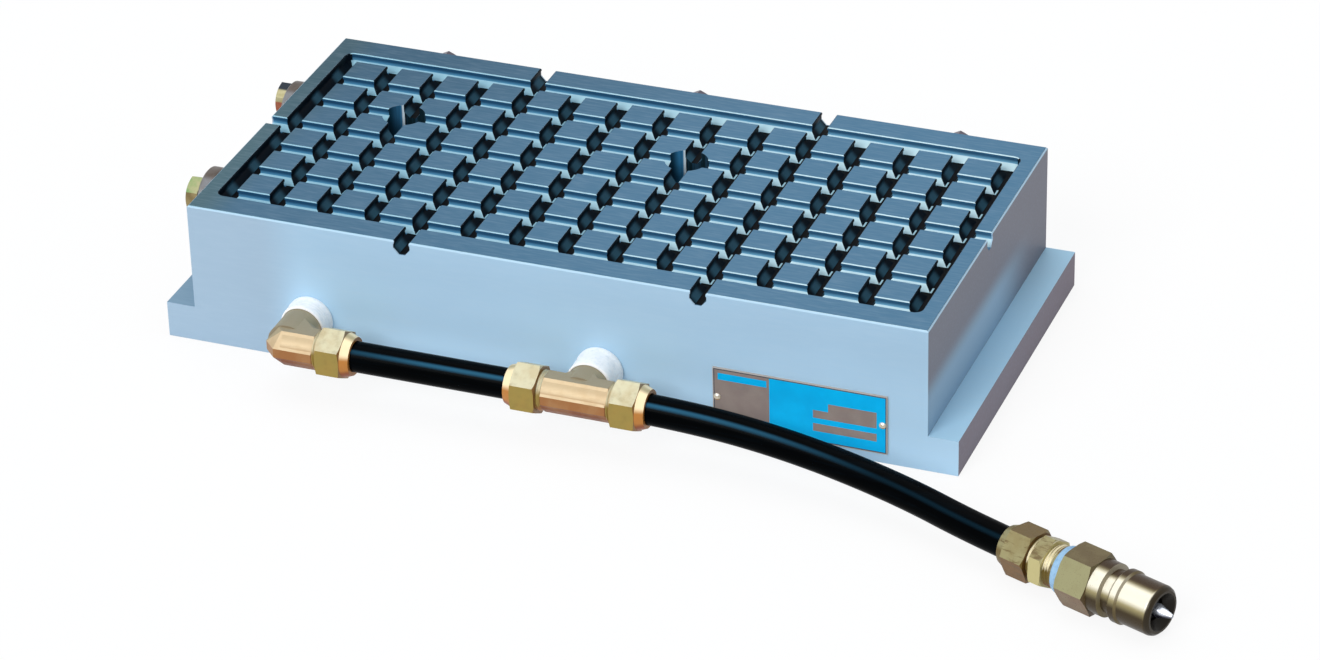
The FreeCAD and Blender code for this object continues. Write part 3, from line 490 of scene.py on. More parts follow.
# %% Suction holes
HOLES_X, HOLES_Y, HOLE_REACH = (-100 * MM, 20 * MM), 20 * MM, 8.7 * MM
flat = add(tree, "ShaderNodeCombineXYZ", X=spot["X"], Y=spot["Y"]).outputs[0]
holes = 0.0
for hole_x in HOLES_X:
    step = vectors(tree, "SUBTRACT", flat, (hole_x, HOLES_Y, 0.0))[0]
    away = vectors(tree, "LENGTH", step)["Value"]
    holes = sums(tree, "MAXIMUM", holes, below(tree, away, HOLE_REACH))
holes = times(tree, holes, near_zero(tree, facing["Z"], 0.5))
bored = mix(tree, ease(tree, facing["X"], 0.4, 0.5), "#12262E", "#3A86B6")
bored = mix(tree, ease(tree, facing["X"], 0.6, 0.95), bored, "#12303E")
bored = mix(tree, ease(tree, grain(tree, 260.0, z=0.03), 0.5, 0.6, 0.0, 0.6), bored, "#2A4C64")
glare = times(tree, ease(tree, facing["X"], 0.4, 0.44), ease(tree, facing["X"], 0.52, 0.48))
bored = mix(tree, glare, bored, "#E4F6FF")
faces = mix(tree, times(tree, holes, groove), faces, bored)
print("suction holes, nodes so far:", len(tree.nodes))

# %% [markdown]
# ## Grinding marks and oil film
#
# The grinder leaves fine scratches along the block. They brighten the steel a little, change how
# rough it is, and give it a faint bump. Broad patches of oil film dull it. Both stay out of the
# grooves, where no wheel and no hand reaches.

# %% Grinding marks
ground = sums(tree, "SUBTRACT", 1.0, groove)
faces = mix(tree, times(tree, blotches(tree, 9.0, 0.35, 0.75), 0.1, ground), faces, "#7E96AC")
scratch = grain(tree, 900.0, x=0.12)
scratched = times(tree, ease(tree, scratch, 0.35, 0.85, 0.0, 0.12), ground)
fill(tree, shader.inputs["Roughness"], ease(tree, scratch, 0.2, 0.8, 0.38, 0.52))
bump(tree, shader, scratch, 0.2, 0.03 * MM)
paint(STEEL, shader, mix(tree, scratched, faces, "#C5D6E2"))

# %% [markdown]
# ## Turned discs of the stops
#
# Five steel discs stand round the block, each on a bolt that misses its middle, so that turning a
# disc shifts the edge that a workpiece is set against. They are turned from bar and slightly
# browned. Rings could be cut into the mesh, but fine grain with soft patches shows the same here.

# %% Steel of the discs
DISC, tree, shader = new_material("turned_disc_steel", metallic=0.3, roughness=0.4, specular=0.2)
# Tones by facing over the browned steel paint light and shade: darkest on top, brown underneath.
turned = tones(tree, "#44362E", "#868A90", "#8494A2", "#8FA0B0", "#6A4A36")
bump(tree, shader, grain(tree, 1500.0), 0.2, 0.02 * MM)
paint(DISC, shader, mix(tree, blotches(tree, 60.0, 0.3, 0.7), turned, "#6C6560"))

# %% [markdown]
# ## Yellow zinc on the bolts
#
# The bolts are yellow zinc plated, a finish whose hue drifts between green, cream and orange. A
# thin film could be computed, but its hues can't be chosen. So broad noise drifts between two
# colours. Olive is the plain plating, on the faces that look along X and behind the block. Light
# and shade are painted over it by place and facing: a lit greenish tone over a shaded brown on the
# front bolt, a lit cream over a painted red reflection on the end's rear bolt, with a painted dark
# reflection on its cap, and painted shade on the tops of the bolts behind the block.

# %% Yellow zinc
ZINC, tree, shader = new_material("yellow_zinc", metallic=0.3, roughness=0.32)
spot, facing = parts_of(tree, "Object"), parts_of(tree, "Normal")
hue_drift = blotches(tree, 140.0, 0.35, 0.65)


def drifting(first, second):
    """A plating hue that drifts between two colours."""
    return mix(tree, hue_drift, first, second)


rear = above(tree, spot["Y"], 0.0)
# Painted light by facing and height: lit tones above, shaded tones and a painted red reflection
# below.
lit = mix(tree, rear, drifting("#6F9556", "#A9A67C"), drifting("#A29A6C", "#C4BC96"))
low = mix(tree, rear, drifting("#7A6840", "#9C8A5E"), drifting("#9A5238", "#B57C5C"))
lower_part = mix(
    tree, rear, ease(tree, facing["Z"], 0.6, 0.3), ease(tree, spot["Z"], 48.0 * MM, 47.4 * MM)
)
plated = mix(tree, lower_part, lit, low)
# A painted dark reflection on the cap of the rear bolt.
cap = times(tree, rear, ease(tree, spot["Z"], 51.4 * MM, 52.0 * MM))
plated = mix(tree, cap, plated, "#14222E")
# Olive is the plain plating, on faces that look along X and behind the block.
olive = drifting("#94904E", "#B9AC7A")
plated = mix(tree, ease(tree, size_of(tree, facing["X"]), 0.3, 0.6), plated, olive)
BEHIND_THE_BLOCK = 76 * MM
# Painted shade on the tops of the bolts behind the block.
shaded_back_bolts = mix(tree, ease(tree, facing["Z"], 0.55, 0.8), olive, "#5C5560")
plated = mix(tree, above(tree, spot["Y"], BEHIND_THE_BLOCK), plated, shaded_back_bolts)
bump(tree, shader, grain(tree, 1200.0), 0.15, 0.02 * MM)
paint(ZINC, shader, plated)

# %% [markdown]
# ## Brass in three finishes
#
# The elbow and the tee are forged brass. Their tones by facing are partly the forging's own, dull
# grey on top where the forging skin is left, and partly painted light and shade: creamy on the
# shoulders, brown on the sides and darker underneath. The nuts and the connector are cut from
# hexagon bar, so they are brighter and more olive. The plug is turned and a little shinier. All
# three share worn patches and fine grain, so one function makes them. The two forgings' branches,
# which point to the block, keep the skin all round, with tones by facing that are painted light and
# shade. Each forging is one solid, so they are found by their place.

# %% Forged brass


def brass(name, faces, patch, roughness, fineness, specular=0.35):
    """A brass with facing tones, worn patches and grain; its colour is given back to be changed."""
    material, tree, shader = new_material(name, 0.2, roughness, specular)
    texture = grain(tree, fineness)
    uneven = ease(tree, texture, 0.2, 0.8, roughness - 0.06, roughness + 0.1)
    fill(tree, shader.inputs["Roughness"], uneven)
    bump(tree, shader, texture, 0.3, 0.04 * MM)
    worn = times(tree, blotches(tree, 150.0, 0.4, 0.7), 0.3)
    return material, tree, shader, mix(tree, worn, tones(tree, *faces), patch)


# Tones by facing: painted light and shade over the forged brass.
FORGED, tree, shader, colour = brass(
    "forged_brass", ("#8E8670", "#C6B08C", "#9A6638", "#A08060", "#7A4020"),
    patch="#B08C60", roughness=0.45, fineness=900.0,
)
BRANCH_START = -99.5 * MM
branch = above(tree, parts_of(tree, "Object")["Y"], BRANCH_START)
# The skin's tones by facing are painted light and shade as well.
skin = tones(tree, "#9C9076", "#A2967A", "#968A72", "#C8B08E", "#6A4A34")
paint(FORGED, shader, mix(tree, branch, colour, skin))

# %% [markdown]
# ## Distance along the coupling
#
# The connector and the plug lie on the floor and point 21 degrees to the front, so X and Y don't
# follow them. Their tones need the distance along their own axis and the distance from it. One
# group works both out for all of them. With s = point - origin and the axis a:
#
# along = s . a and radius = sqrt(s . s - along * along)

# %% Distance along the coupling
COUPLING_TURN = np.radians(-21)
COUPLING_AXIS = np.array([np.cos(COUPLING_TURN), np.sin(COUPLING_TURN), 0.0])
COUPLING = np.array([225 * MM, -139 * MM, 10.5 * MM])

ALONG, given, out = new_group(
    "along_coupling", {"Origin": VECTOR}, {"Along": NUMBER, "Radius": NUMBER}
)
point = add(ALONG, "ShaderNodeTexCoord").outputs["Object"]
step = vectors(ALONG, "SUBTRACT", point, given["Origin"])[0]
onto = vectors(ALONG, "DOT_PRODUCT", step, tuple(COUPLING_AXIS))["Value"]
square = vectors(ALONG, "DOT_PRODUCT", step, step)["Value"]
rest = sums(ALONG, "SUBTRACT", square, times(ALONG, onto, onto))
fill(ALONG, out["Along"], onto)
fill(ALONG, out["Radius"], sums(ALONG, "SQRT", sums(ALONG, "MAXIMUM", rest, 0.0)))
print("coupling axis:", COUPLING_AXIS.round(4).tolist())

# %% [markdown]
# ## Hexagon bar
#
# The compression nuts are milled from bright hexagon bar and stained by hands, and their tones by
# facing are painted light and shade. The round collar of each nut is turned and more golden, and
# its tones by facing paint a cream highlight on the shoulder and brown shade underneath. A nut is
# one solid with one material, so its collar is found by place: between the two fittings and beyond
# the tee.

# %% Hexagon bar
# Tones by facing on the bar: painted light and shade.
BAR, tree, shader, colour = brass(
    "hexagon_bar_brass", ("#8C7440", "#D0CAAA", "#97823E", "#8A6234", "#9A5A28"),
    patch="#A8843E", roughness=0.36, fineness=1400.0,
)
run = parts_of(tree, "Object")["X"]
RUN_END = 60 * MM
inner_collars = between(tree, run, -74.9 * MM, -5.1 * MM)
outer_collar = between(tree, run, 45.1 * MM, RUN_END)
collars = sums(tree, "ADD", inner_collars, outer_collar)
# The collar's tones by facing: a painted cream highlight above, painted brown shade below.
golden = tones(tree, "#7C7448", "#FFE9BC", "#B87834", "#A86C30", "#8A4418")
stain = times(tree, blotches(tree, 330.0, 0.45, 0.8), 0.35)
run_colour = mix(tree, collars, mix(tree, stain, colour, "#7E6634"), golden)
print("bar, nodes so far:", len(tree.nodes))

# %% [markdown]
# ## The connector's own tones
#
# The connector at the hose's far end is the same bar, made darker and duller. It has brown streaks,
# a painted pale front facet where light falls, and two painted glints where its chamfers face the
# light. It could have a material of its own, but then the bar would be written twice. So a mask
# keeps these tones to everything beyond the run of the fittings.

# %% Connector's own tones
reach = use(tree, ALONG, Origin=tuple(COUPLING))["Along"]
upward = parts_of(tree, "Normal")["Z"]
# Darker and duller beyond the run of the fittings.
dull = mix(tree, 1.0, run_colour, "#B8B49A", "MULTIPLY")
streak = grain(tree, 500.0, x=0.25, y=0.45, z=1.6)
dull = mix(tree, ease(tree, streak, 0.52, 0.66, 0.0, 0.75), dull, "#5E4824")
# A painted pale front facet, where light falls on it.
lit_front_facet = times(
    tree, between(tree, reach, -13.6 * MM, -8.1 * MM, soft=0.1 * MM),
    between(tree, upward, -0.3, 0.35, soft=0.1),
)
dull = mix(tree, lit_front_facet, dull, "#BDB27C")
# Painted glints on the two chamfers that face the light.
chamfers = sums(
    tree, "MAXIMUM", between(tree, reach, -15.2 * MM, -13.2 * MM, soft=0.3 * MM),
    between(tree, reach, -8.0 * MM, -5.4 * MM, soft=0.4 * MM),
)
glint = times(tree, chamfers, between(tree, upward, 0.36, 0.66, soft=0.2))
dull = mix(tree, glint, dull, "#EADFBC")
paint(BAR, shader, mix(tree, below(tree, run, RUN_END), dull, run_colour))

# %% [markdown]
# ## Turned plug
#
# The plug is turned brass, and its hexagon's tones by facing are painted light and shade. On a
# bright barrel the surroundings are drawn out into long bands: dark underneath, pale on the front,
# and dark again on top. These bands are painted reflections. Mirrored surroundings would do this
# only while the studio stays as it is, so the bands follow how squarely the surface looks along one
# fixed direction. Cones and faces that look along the axis get a browner painted shade, the lip is
# painted dark as shade, and the mouth is painted nearly black as shade in its recess.

# %% Turned plug
# The hexagon's tones by facing are painted light and shade.
TURNED, tree, shader, colour = brass(
    "turned_brass", ("#66583C", "#98946E", "#7A6642", "#4A3A26", "#6A4C28"),
    patch="#867C58", roughness=0.3, fineness=1800.0, specular=0.2,
)
reach = use(tree, ALONG, Origin=tuple(COUPLING))
BAND_DIRECTION = (0.184, 0.481, 0.857)
# Painted reflection bands, by how squarely the barrel looks along one fixed direction.
tilt = looks_along(tree, BAND_DIRECTION)
barrel = mix(tree, ease(tree, tilt, -0.5, -0.1), "#3C301C", "#A0946A")
reflected_band = times(tree, ease(tree, tilt, -0.22, 0.06), ease(tree, tilt, 0.74, 0.48))
barrel = mix(tree, reflected_band, barrel, "#F2ECD8")
barrel = mix(tree, ease(tree, tilt, 0.55, 0.78), barrel, "#3C2C1A")
# Painted browner shade on faces that look along the axis.
ahead = size_of(tree, looks_along(tree, tuple(COUPLING_AXIS)))
barrel = mix(tree, ease(tree, ahead, 0.3, 0.5, 0.0, 0.75), barrel, "#66583A")

BARREL_START, LIP, MOUTH, MOUTH_RADIUS = 13.1 * MM, (37.7 * MM, 38.3 * MM), 30 * MM, 7.15 * MM
colour = mix(tree, above(tree, reach["Along"], BARREL_START), colour, barrel)
# Painted shade on the lip and, below, in the mouth.
colour = mix(tree, ease(tree, reach["Along"], *LIP), colour, "#2E2618")
mouth = times(tree, above(tree, reach["Along"], MOUTH), below(tree, reach["Radius"], MOUTH_RADIUS))
paint(TURNED, shader, mix(tree, mouth, colour, "#17130C"))

# %% [markdown]
# ## Bright valve steel
#
# The pointed tip in the plug's mouth and the spring behind it are bright turned steel. They are so
# small that a painted light upper side, a painted shaded lower side and fine lathe marks are all
# that shows.

# %% Bright valve steel
BRIGHT, tree, shader = new_material("bright_turned_steel", metallic=0.7, roughness=0.22)
upward = parts_of(tree, "Normal")["Z"]
# Painted light on the upper side, painted shade on the lower side.
steel = mix(tree, ease(tree, upward, -0.3, 0.45), "#2A2A36", "#E8EEF8")
lathe = ease(tree, grain(tree, 2500.0, y=0.2), 0.4, 0.8, 0.0, 0.3)
paint(BRIGHT, shader, mix(tree, lathe, steel, "#A8A4C0"))

# %% [markdown]
# ## Nylon
#
# The hose and the short tube between the fittings are black nylon with a smooth gloss. One soft
# blue line of light runs along their upper side and fades towards the coupling. A real reflection
# would come from a window; here it is a narrow band of the normal's Z, so that it stays in place
# however the studio is lit. Extrusion leaves faint lines along the tube.

# %% Nylon
NYLON, tree, shader = new_material("black_nylon", metallic=0.0, roughness=0.24, specular=0.015)
upward, run = parts_of(tree, "Normal")["Z"], parts_of(tree, "Object")["X"]
light_line = times(
    tree, ease(tree, upward, 0.56, 0.75), ease(tree, upward, 0.88, 0.77),
    ease(tree, run, -80 * MM, -30 * MM, 0.45, 1.0),
    ease(tree, run, 60 * MM, 150 * MM, 1.0, 0.12),
)
black = mix(tree, light_line, "#010203", "#2A5A74")
drawn = grain(tree, 500.0, x=0.05, y=0.4)
fill(tree, shader.inputs["Roughness"], ease(tree, drawn, 0.2, 0.8, 0.18, 0.3))
bump(tree, shader, drawn, 0.1, 0.03 * MM)
paint(NYLON, shader, mix(tree, ease(tree, drawn, 0.45, 0.8, 0.0, 0.2), black, "#081822"))

# %% [markdown]
# ## Rubber and thread tape
#
# The valve's seal is black rubber. The tape wound on each pipe thread is matt white; the one at the
# coupling looks pale blue. Its creases are a little darker, so one height map gives both the bump
# and the shade.

# %% Rubber and tape
RUBBER, tree, shader = new_material("black_rubber", metallic=0.0, roughness=0.7)
paint(RUBBER, shader, mix(tree, blotches(tree, 300.0, 0.3, 0.7), "#101012", "#1C1C20"))


def tape(name, pale, shade):
    """Matt wound tape from pale to the shade of its creases."""
    material, tree, shader = new_material(name, metallic=0.0, roughness=0.6)
    crease = grain(tree, 600.0)
    bump(tree, shader, crease, 0.4, 0.08 * MM)
    paint(material, shader, mix(tree, ease(tree, crease, 0.45, 0.75), pale, shade))
    return material


WHITE_TAPE = tape("white_thread_tape", "#FFFFFF", "#EEF2F6")
BLUE_TAPE = tape("blue_thread_tape", "#96BDDD", "#7EA6CA")

# %% [markdown]
# ## The nameplate's colour fields
#
# The plate is thin printed metal: a plain grey field on the left with a narrow cyan strip near its
# top, and a cyan field with three bare grey boxes on the right. It could be an image, but the
# fields are rectangles, so one material paints the whole plate by place and leaves its metal rim
# bare. Nothing is written on it. The rivets are bright aluminium.

# %% Nameplate
PLATE_EDGES, RIM = (65.5, 134.5, 4.3, 29.3), 0.35
CYAN_FIELDS = [(88.0, 133.8, 5.0, 28.6), (67.6, 87.0, 24.3, 27.2)]
GREY_BOXES = [(105.3, 130.3, 15.0, 18.3), (111.3, 130.3, 18.2, 21.8), (105.3, 130.3, 9.3, 12.6)]

PLATE, tree, shader = new_material("printed_plate", metallic=0.0, roughness=0.45, specular=0.1)


def field(tree, left, right, low, high, inset=0.0):
    """A rectangle on the plate, in millimetres, smaller by an inset on each side."""
    edges = {"Left": left + inset, "Right": right - inset, "Low": low + inset, "High": high - inset}
    return use(tree, FIELD, **{name: value * MM for name, value in edges.items()})["Mask"]


worn = blotches(tree, 120.0, 0.3, 0.75)
grey = mix(tree, worn, "#897B76", "#94877F")
cyan = mix(tree, worn, "#00AEEA", "#00BAF4")
printed = grey
for ink, fields in ((cyan, CYAN_FIELDS), (grey, GREY_BOXES)):
    for edges in fields:
        printed = mix(tree, field(tree, *edges), printed, ink)
rim = mix(tree, field(tree, *PLATE_EDGES, inset=RIM), "#B8B0AA", "#4C5058")
bump(tree, shader, grain(tree, 1800.0, x=0.3), 0.15, 0.02 * MM)
paint(PLATE, shader, mix(tree, field(tree, *PLATE_EDGES, inset=2.2 * RIM), rim, printed))

RIVET, tree, shader = new_material("rivet_aluminium", metallic=0.6, roughness=0.35)
# The rivets' tones by facing are painted light and shade: bright on top, brown underneath.
paint(RIVET, shader, tones(tree, "#FFFDF6", "#F4F0E4", "#D8CDB8", "#C8B898", "#B89058"))

# %% [markdown]
# ## Give every solid its finish
#
# Each solid has one finish, as its real piece is made of one stock. The names say what a solid is,
# so the many discs, bolts and nuts are found by the end of their name and not listed one by one.

# %% Give every solid its finish


def ending(*ends):
    """The names of the solids that end in one of these words."""
    return [name for name in NODES if name.endswith(ends)]


FINISHES = {
    STEEL: ["chuck_body"],
    PLATE: ["name_plate"],
    RIVET: ending("rivet_left", "rivet_right"),
    DISC: ending("_disc"),
    ZINC: ending("_bolt"),
    FORGED: ["elbow_body", "tee_body"],
    BAR: ["connector_body"] + ending("_nut", "_ferrule", "_insert"),
    TURNED: ["plug_body", "spring_retainer"],
    BRIGHT: ["poppet", "poppet_spring"],
    RUBBER: ["poppet_seal"],
    NYLON: ["link_tube", "hose"],
    WHITE_TAPE: ["elbow_seal", "tee_seal"],
    BLUE_TAPE: ["coupling_seal"],
}
for material, names in FINISHES.items():
    for name in names:
        NODES[name].data.materials.clear()
        NODES[name].data.materials.append(material)
print("solids with a finish:", sum(map(len, FINISHES.values())), "of", len(NODES))

# %% [markdown]
# ## Surfaces from a grid
#
# A new piece is a function of two parameters, worked out for the whole grid at once with numpy. It
# could be modelled by hand or with modifiers, but a formula can be read and changed. For a thread
# or a wound tape the first parameter runs along the axis and the second goes round it. The last
# column joins the first, and the profile comes back inside to its start, so the surface is closed.

# %% Grid to mesh


def into_scene(name, data):
    """A new object at the origin of the frame."""
    made = bpy.data.objects.new(name, data)
    bpy.context.scene.collection.objects.link(made)
    return made


def new_piece(name, points, faces, material, smooth=True):
    """A mesh from its points and faces, in one finish."""
    mesh = bpy.data.meshes.new(name)
    mesh.from_pydata(points.reshape(-1, 3).tolist(), [], faces)
    mesh.polygons.foreach_set("use_smooth", np.full(len(faces), smooth))
    mesh.materials.append(material)
    print(name, "faces:", len(faces))
    return into_scene(name, mesh)


def ring_piece(name, along, outer, inner, centre, axis, material):
    """A closed ring: centre + along * a + radius * (u cos t + v sin t), with u and v square to a.

    The radius is outer[i, j] on the way out along the axis a, and inner on the way back.
    """
    rows, turns = outer.shape[0] + 2, outer.shape[1]
    a = np.array(axis) / np.linalg.norm(axis)
    u = np.cross((0, 0, 1), a)
    u = u / np.linalg.norm(u)
    v = np.cross(a, u)
    t = np.linspace(0, 2 * np.pi, turns, endpoint=False)[:, None]
    spokes = np.cos(t) * u + np.sin(t) * v
    place = np.concatenate([along, [along[-1], along[0]]])[:, None, None]
    radius = np.vstack([outer, np.full((2, turns), inner)])[..., None]
    index = np.arange(rows * turns).reshape(rows, turns)
    next_row, next_column = np.roll(index, -1, axis=0), np.roll(index, -1, axis=1)
    corners = [index, next_column, np.roll(next_row, -1, axis=1), next_row]
    faces = np.stack(corners, axis=-1).reshape(-1, 4).tolist()
    return new_piece(name, centre + place * a + radius * spokes, faces, material)


# %% [markdown]
# ## Where the fittings are
#
# The elbow and the tee sit on the port axes, 21.6 mm in front of the block and 19.5 mm up. Their
# places and the coupling's are worked out once, for the threads and the tapes.

# %% Places of the fittings
RUN_Y, RUN_Z = -96.6 * MM, 19.5 * MM
ELBOW = np.array([-100 * MM, RUN_Y, RUN_Z])
TEE = np.array([20 * MM, RUN_Y, RUN_Z])
for name, place in (("elbow", ELBOW), ("tee", TEE), ("coupling", COUPLING)):
    print(name, "at, mm:", (place / MM).round(1).tolist())

# %% [markdown]
# ## Screw threads
#
# Between each forging and its nut a few turns of thread show. A thread is a V that climbs one pitch
# in each turn: radius = core + depth * (1 - |2 * frac(along / pitch - turn) - 1|). A bump could
# fake it, but the outline would stay smooth. The outer surface follows the formula, fades out at
# both ends, and goes back inside the solid's own cylinder to close the ring.

# %% Thread surface
THREAD_CORE, THREAD_SIDES, STEPS_IN_A_PITCH = 7.45 * MM, 72, 10


def thread(name, centre, axis, start, end, crest=7.95 * MM, pitch=1.25 * MM):
    """A thread from start to end: core + (crest - core) * (1 - |2 * frac - 1|) * fade."""
    along = np.linspace(start, end, int((end - start) / pitch * STEPS_IN_A_PITCH) + 2)
    turn = np.linspace(0, 1, THREAD_SIDES, endpoint=False)
    wave = 1 - np.abs(2 * ((along[:, None] / pitch - turn[None, :]) % 1.0) - 1)
    fade = np.clip(np.minimum(along - start, end - along) / (0.3 * pitch), 0, 1)[:, None]
    outer = THREAD_CORE + (crest - THREAD_CORE) * wave * fade
    piece = ring_piece(name, along, outer, THREAD_CORE - 0.5 * MM, centre, axis, BAR)
    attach(piece, "base")
    return piece


THREAD_GAP = (13.0 * MM, 15.6 * MM)
thread("elbow_thread", ELBOW, (1, 0, 0), *THREAD_GAP)
thread("tee_right_thread", TEE, (1, 0, 0), *THREAD_GAP)
thread("tee_left_thread", TEE, (-1, 0, 0), *THREAD_GAP)
connector_thread = thread("connector_thread", COUPLING, COUPLING_AXIS, -15.9 * MM, -13.5 * MM)
connector_tail_thread = thread(
    "connector_tail_thread", COUPLING, COUPLING_AXIS, -8.2 * MM, -4.0 * MM, 8.2 * MM, 1.3 * MM
)

# %% [markdown]
# ## Wound thread tape
#
# Thin tape is wound on each pipe thread and bulges where the fitting is screwed home. Its edge
# climbs slowly round the ring, and every layer leaves a small step. So the radius is the solid's
# own profile, less low steps that climb with the turn, plus a little seeded waviness.

# %% Tape surface
TAPE_SIDES, TAPE_ROWS, TAPE_STEP, TAPE_LEAD = 96, 26, 0.12 * MM, 1.4 * MM


def wound_tape(name, node, centre, axis, stations, radii, material, seed):
    """A wound ring: profile + fade * (waves - step * frac(along / lead - turn))."""
    dice = np.random.default_rng(seed)
    stations, radii = np.array(stations) * MM, np.array(radii) * MM
    along = np.linspace(stations[0], stations[-1], TAPE_ROWS)
    profile = np.interp(along, stations, radii)[:, None]
    turn = np.linspace(0, 2 * np.pi, TAPE_SIDES, endpoint=False)[None, :]
    climb = (along[:, None] / TAPE_LEAD - turn / (2 * np.pi)) % 1.0
    lean = along[:, None] / (2 * MM)
    waves = sum(
        dice.uniform(0.02, 0.06) * MM * np.sin(count * turn + dice.uniform(0, 6.28) + lean)
        for count in (2, 3, 5, 8)
    )
    fade = np.sin(np.pi * np.linspace(0, 1, TAPE_ROWS))[:, None] ** 0.5
    outer = profile - TAPE_STEP * climb * fade + waves * fade
    piece = ring_piece(name, along, outer, min(radii) - 0.4 * MM, centre, axis, material)
    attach(piece, "base")
    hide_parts(node)
    return piece


PORT_AXIS, PORT_RADII = (0, 1, 0), [8.8, 9.2, 9.2, 9.5, 9.5, 9.2]
for name, node, centre, start, seed in (
    ("elbow_tape", "elbow_seal", ELBOW, 13.0, 3), ("tee_tape", "tee_seal", TEE, 9.0, 5)
):
    stations = [start, start + 0.6, 19.0, 20.0, 21.2, 21.6]
    wound_tape(name, node, centre, PORT_AXIS, stations, PORT_RADII, WHITE_TAPE, seed)
coupling_tape = wound_tape(
    "coupling_tape", "coupling_seal", COUPLING, COUPLING_AXIS,
    [-3.8, -2.9, -0.6, 0.0], [8.7, 9.2, 9.2, 8.8], BLUE_TAPE, 7,
)

# %% [markdown]
# ## The valve's spring
#
# A coil spring holds the poppet shut inside the plug. Round wire follows a helix whose first and
# last turns lie closed. A curve with a round bevel would do, but a grid keeps its faces few and
# even. When the poppet is pushed in, the spring gets shorter towards its retainer.

# %% Path of the spring
SPRING_START, SPRING_LENGTH, COIL, WIRE = 14.05 * MM, 15.2 * MM, 8.8 * MM, 0.9 * MM
SPRING_TURNS, CLOSED_TURNS, SPRING_POINTS, WIRE_SIDES = 7, 1, 336, 14

rise = CLOSED_TURNS * WIRE * 1.05
marks = [0, CLOSED_TURNS, SPRING_TURNS - CLOSED_TURNS, SPRING_TURNS]
turn = np.linspace(0, SPRING_TURNS, SPRING_POINTS)
along = SPRING_START + np.interp(turn, marks, [0, rise, SPRING_LENGTH - rise, SPRING_LENGTH])
side = np.cross((0, 0, 1), COUPLING_AXIS)
up = np.cross(COUPLING_AXIS, side)
angle = 2 * np.pi * turn[:, None]
spoke = np.cos(angle) * side + np.sin(angle) * up
path = COUPLING + along[:, None] * COUPLING_AXIS + COIL / 2 * spoke
open_pitch = (SPRING_LENGTH - 2 * rise) / (SPRING_TURNS - 2 * CLOSED_TURNS)
print("spring's open pitch, mm:", round(open_pitch / MM, 2))

# %% [markdown]
# ## Wire of the spring
#
# The wire is a row of small rings that follow the path, each square to it, with a flat cap at both
# ends. Fourteen sides are enough to look round at this size. The spring rides on the base and takes
# the plain spring's place.

# %% Wire of the spring


def wire_piece(name, path, spoke, wire, material):
    """A round wire round a path: path + wire / 2 * (cos t * spoke + sin t * across)."""
    forward = np.gradient(path, axis=0)
    forward = forward / np.linalg.norm(forward, axis=1)[:, None]
    across = np.cross(forward, spoke)
    t = np.linspace(0, 2 * np.pi, WIRE_SIDES, endpoint=False)[:, None]
    rings = path[:, None] + wire / 2 * (np.cos(t) * spoke[:, None] + np.sin(t) * across[:, None])
    index = np.arange(len(path) * WIRE_SIDES).reshape(len(path), WIRE_SIDES)
    next_column = np.roll(index, -1, axis=1)
    corners = [index[:-1], index[1:], next_column[1:], next_column[:-1]]
    walls = np.stack(corners, axis=-1).reshape(-1, 4).tolist()
    return new_piece(name, rings, walls + [index[0].tolist(), index[-1][::-1].tolist()], material)


valve_spring = wire_piece("valve_spring", path, spoke, WIRE, BRIGHT)
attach(valve_spring, "base")
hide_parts("poppet_spring")
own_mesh(valve_spring)

# %% [markdown]
# ## The hose
#
# The hose leaves the tee level with the ports, sinks to the floor in one slow bend and ends in the
# coupling's connector, and all of it shows. It is stiff nylon, 12 mm across, so the bend is wide.
# It could be bent freely by hand, but a quadratic spline with the route's points as its control
# points touches each run and rounds each corner, which is the same line that the solid follows.

# %% Line of the hose
HOSE_ROUTE = [
    (31.0, -96.6, 19.5),
    (62.0, -96.6, 19.5),
    (105.0, -100.2, 17.2),
    (150.0, -109.5, 13.0),
    (185.79, -123.949, 10.5),
    (214.264, -134.879, 10.5),
]
HOSE_DIAMETER, HOSE_LENGTH = 12.0 * MM, 189.35 * MM

curve = bpy.data.curves.new("vacuum_hose", "CURVE")
curve.dimensions = "3D"
curve.resolution_u, curve.bevel_resolution = 24, 10
curve.bevel_depth = HOSE_DIAMETER / 2
curve.use_fill_caps = True
line = curve.splines.new("NURBS")
line.points.add(len(HOSE_ROUTE) - 1)
for point, place in zip(line.points, HOSE_ROUTE):
    point.co = (*(value * MM for value in place), 1.0)
line.order_u = 3
line.use_endpoint_u = True
curve.materials.append(NYLON)
print("hose: control points", len(line.points), "length", HOSE_LENGTH, "diameter", HOSE_DIAMETER)

# %% [markdown]
# ## The hose in the scene
#
# A hose is a cord: it leaves its exit, has a length, a diameter and a stiffness, and carries what
# is fixed to its far end, here the connector and the whole plug. Its curve becomes an object that
# rides on the base, in the place of the plain solid hose.

# %% Cord
hose = into_scene("vacuum_hose", curve)
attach(hose, "base")
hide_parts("hose")

# %% [markdown]
# ## Floor
#
# The object stands on a plain pale floor in front of nothing at all, like a catalogue picture. A
# white diffuse floor alone would look grey, so to the camera and to reflections it is mostly plain
# white light, and the rest of it keeps a soft shadow.

# %% Floor
FLOOR_HALF, FLOOR_DROP, FLOOR_WHITE = 6.0, 0.2 * MM, 0.88


def two_looks(tree, plain, shown, share, output):
    """Mixes in a shader by a share, only where camera, gloss or transmission rays see it."""
    rays = add(tree, "ShaderNodeLightPath").outputs
    seen = sums(tree, "MAXIMUM", rays["Is Glossy Ray"], rays["Is Transmission Ray"])
    seen = sums(tree, "MAXIMUM", rays["Is Camera Ray"], seen)
    both = add(tree, "ShaderNodeMixShader")
    for index, value in enumerate((times(tree, seen, share), plain.outputs[0], shown.outputs[0])):
        fill(tree, both.inputs[index], value)
    fill(tree, add(tree, output).inputs["Surface"], both.outputs[0])


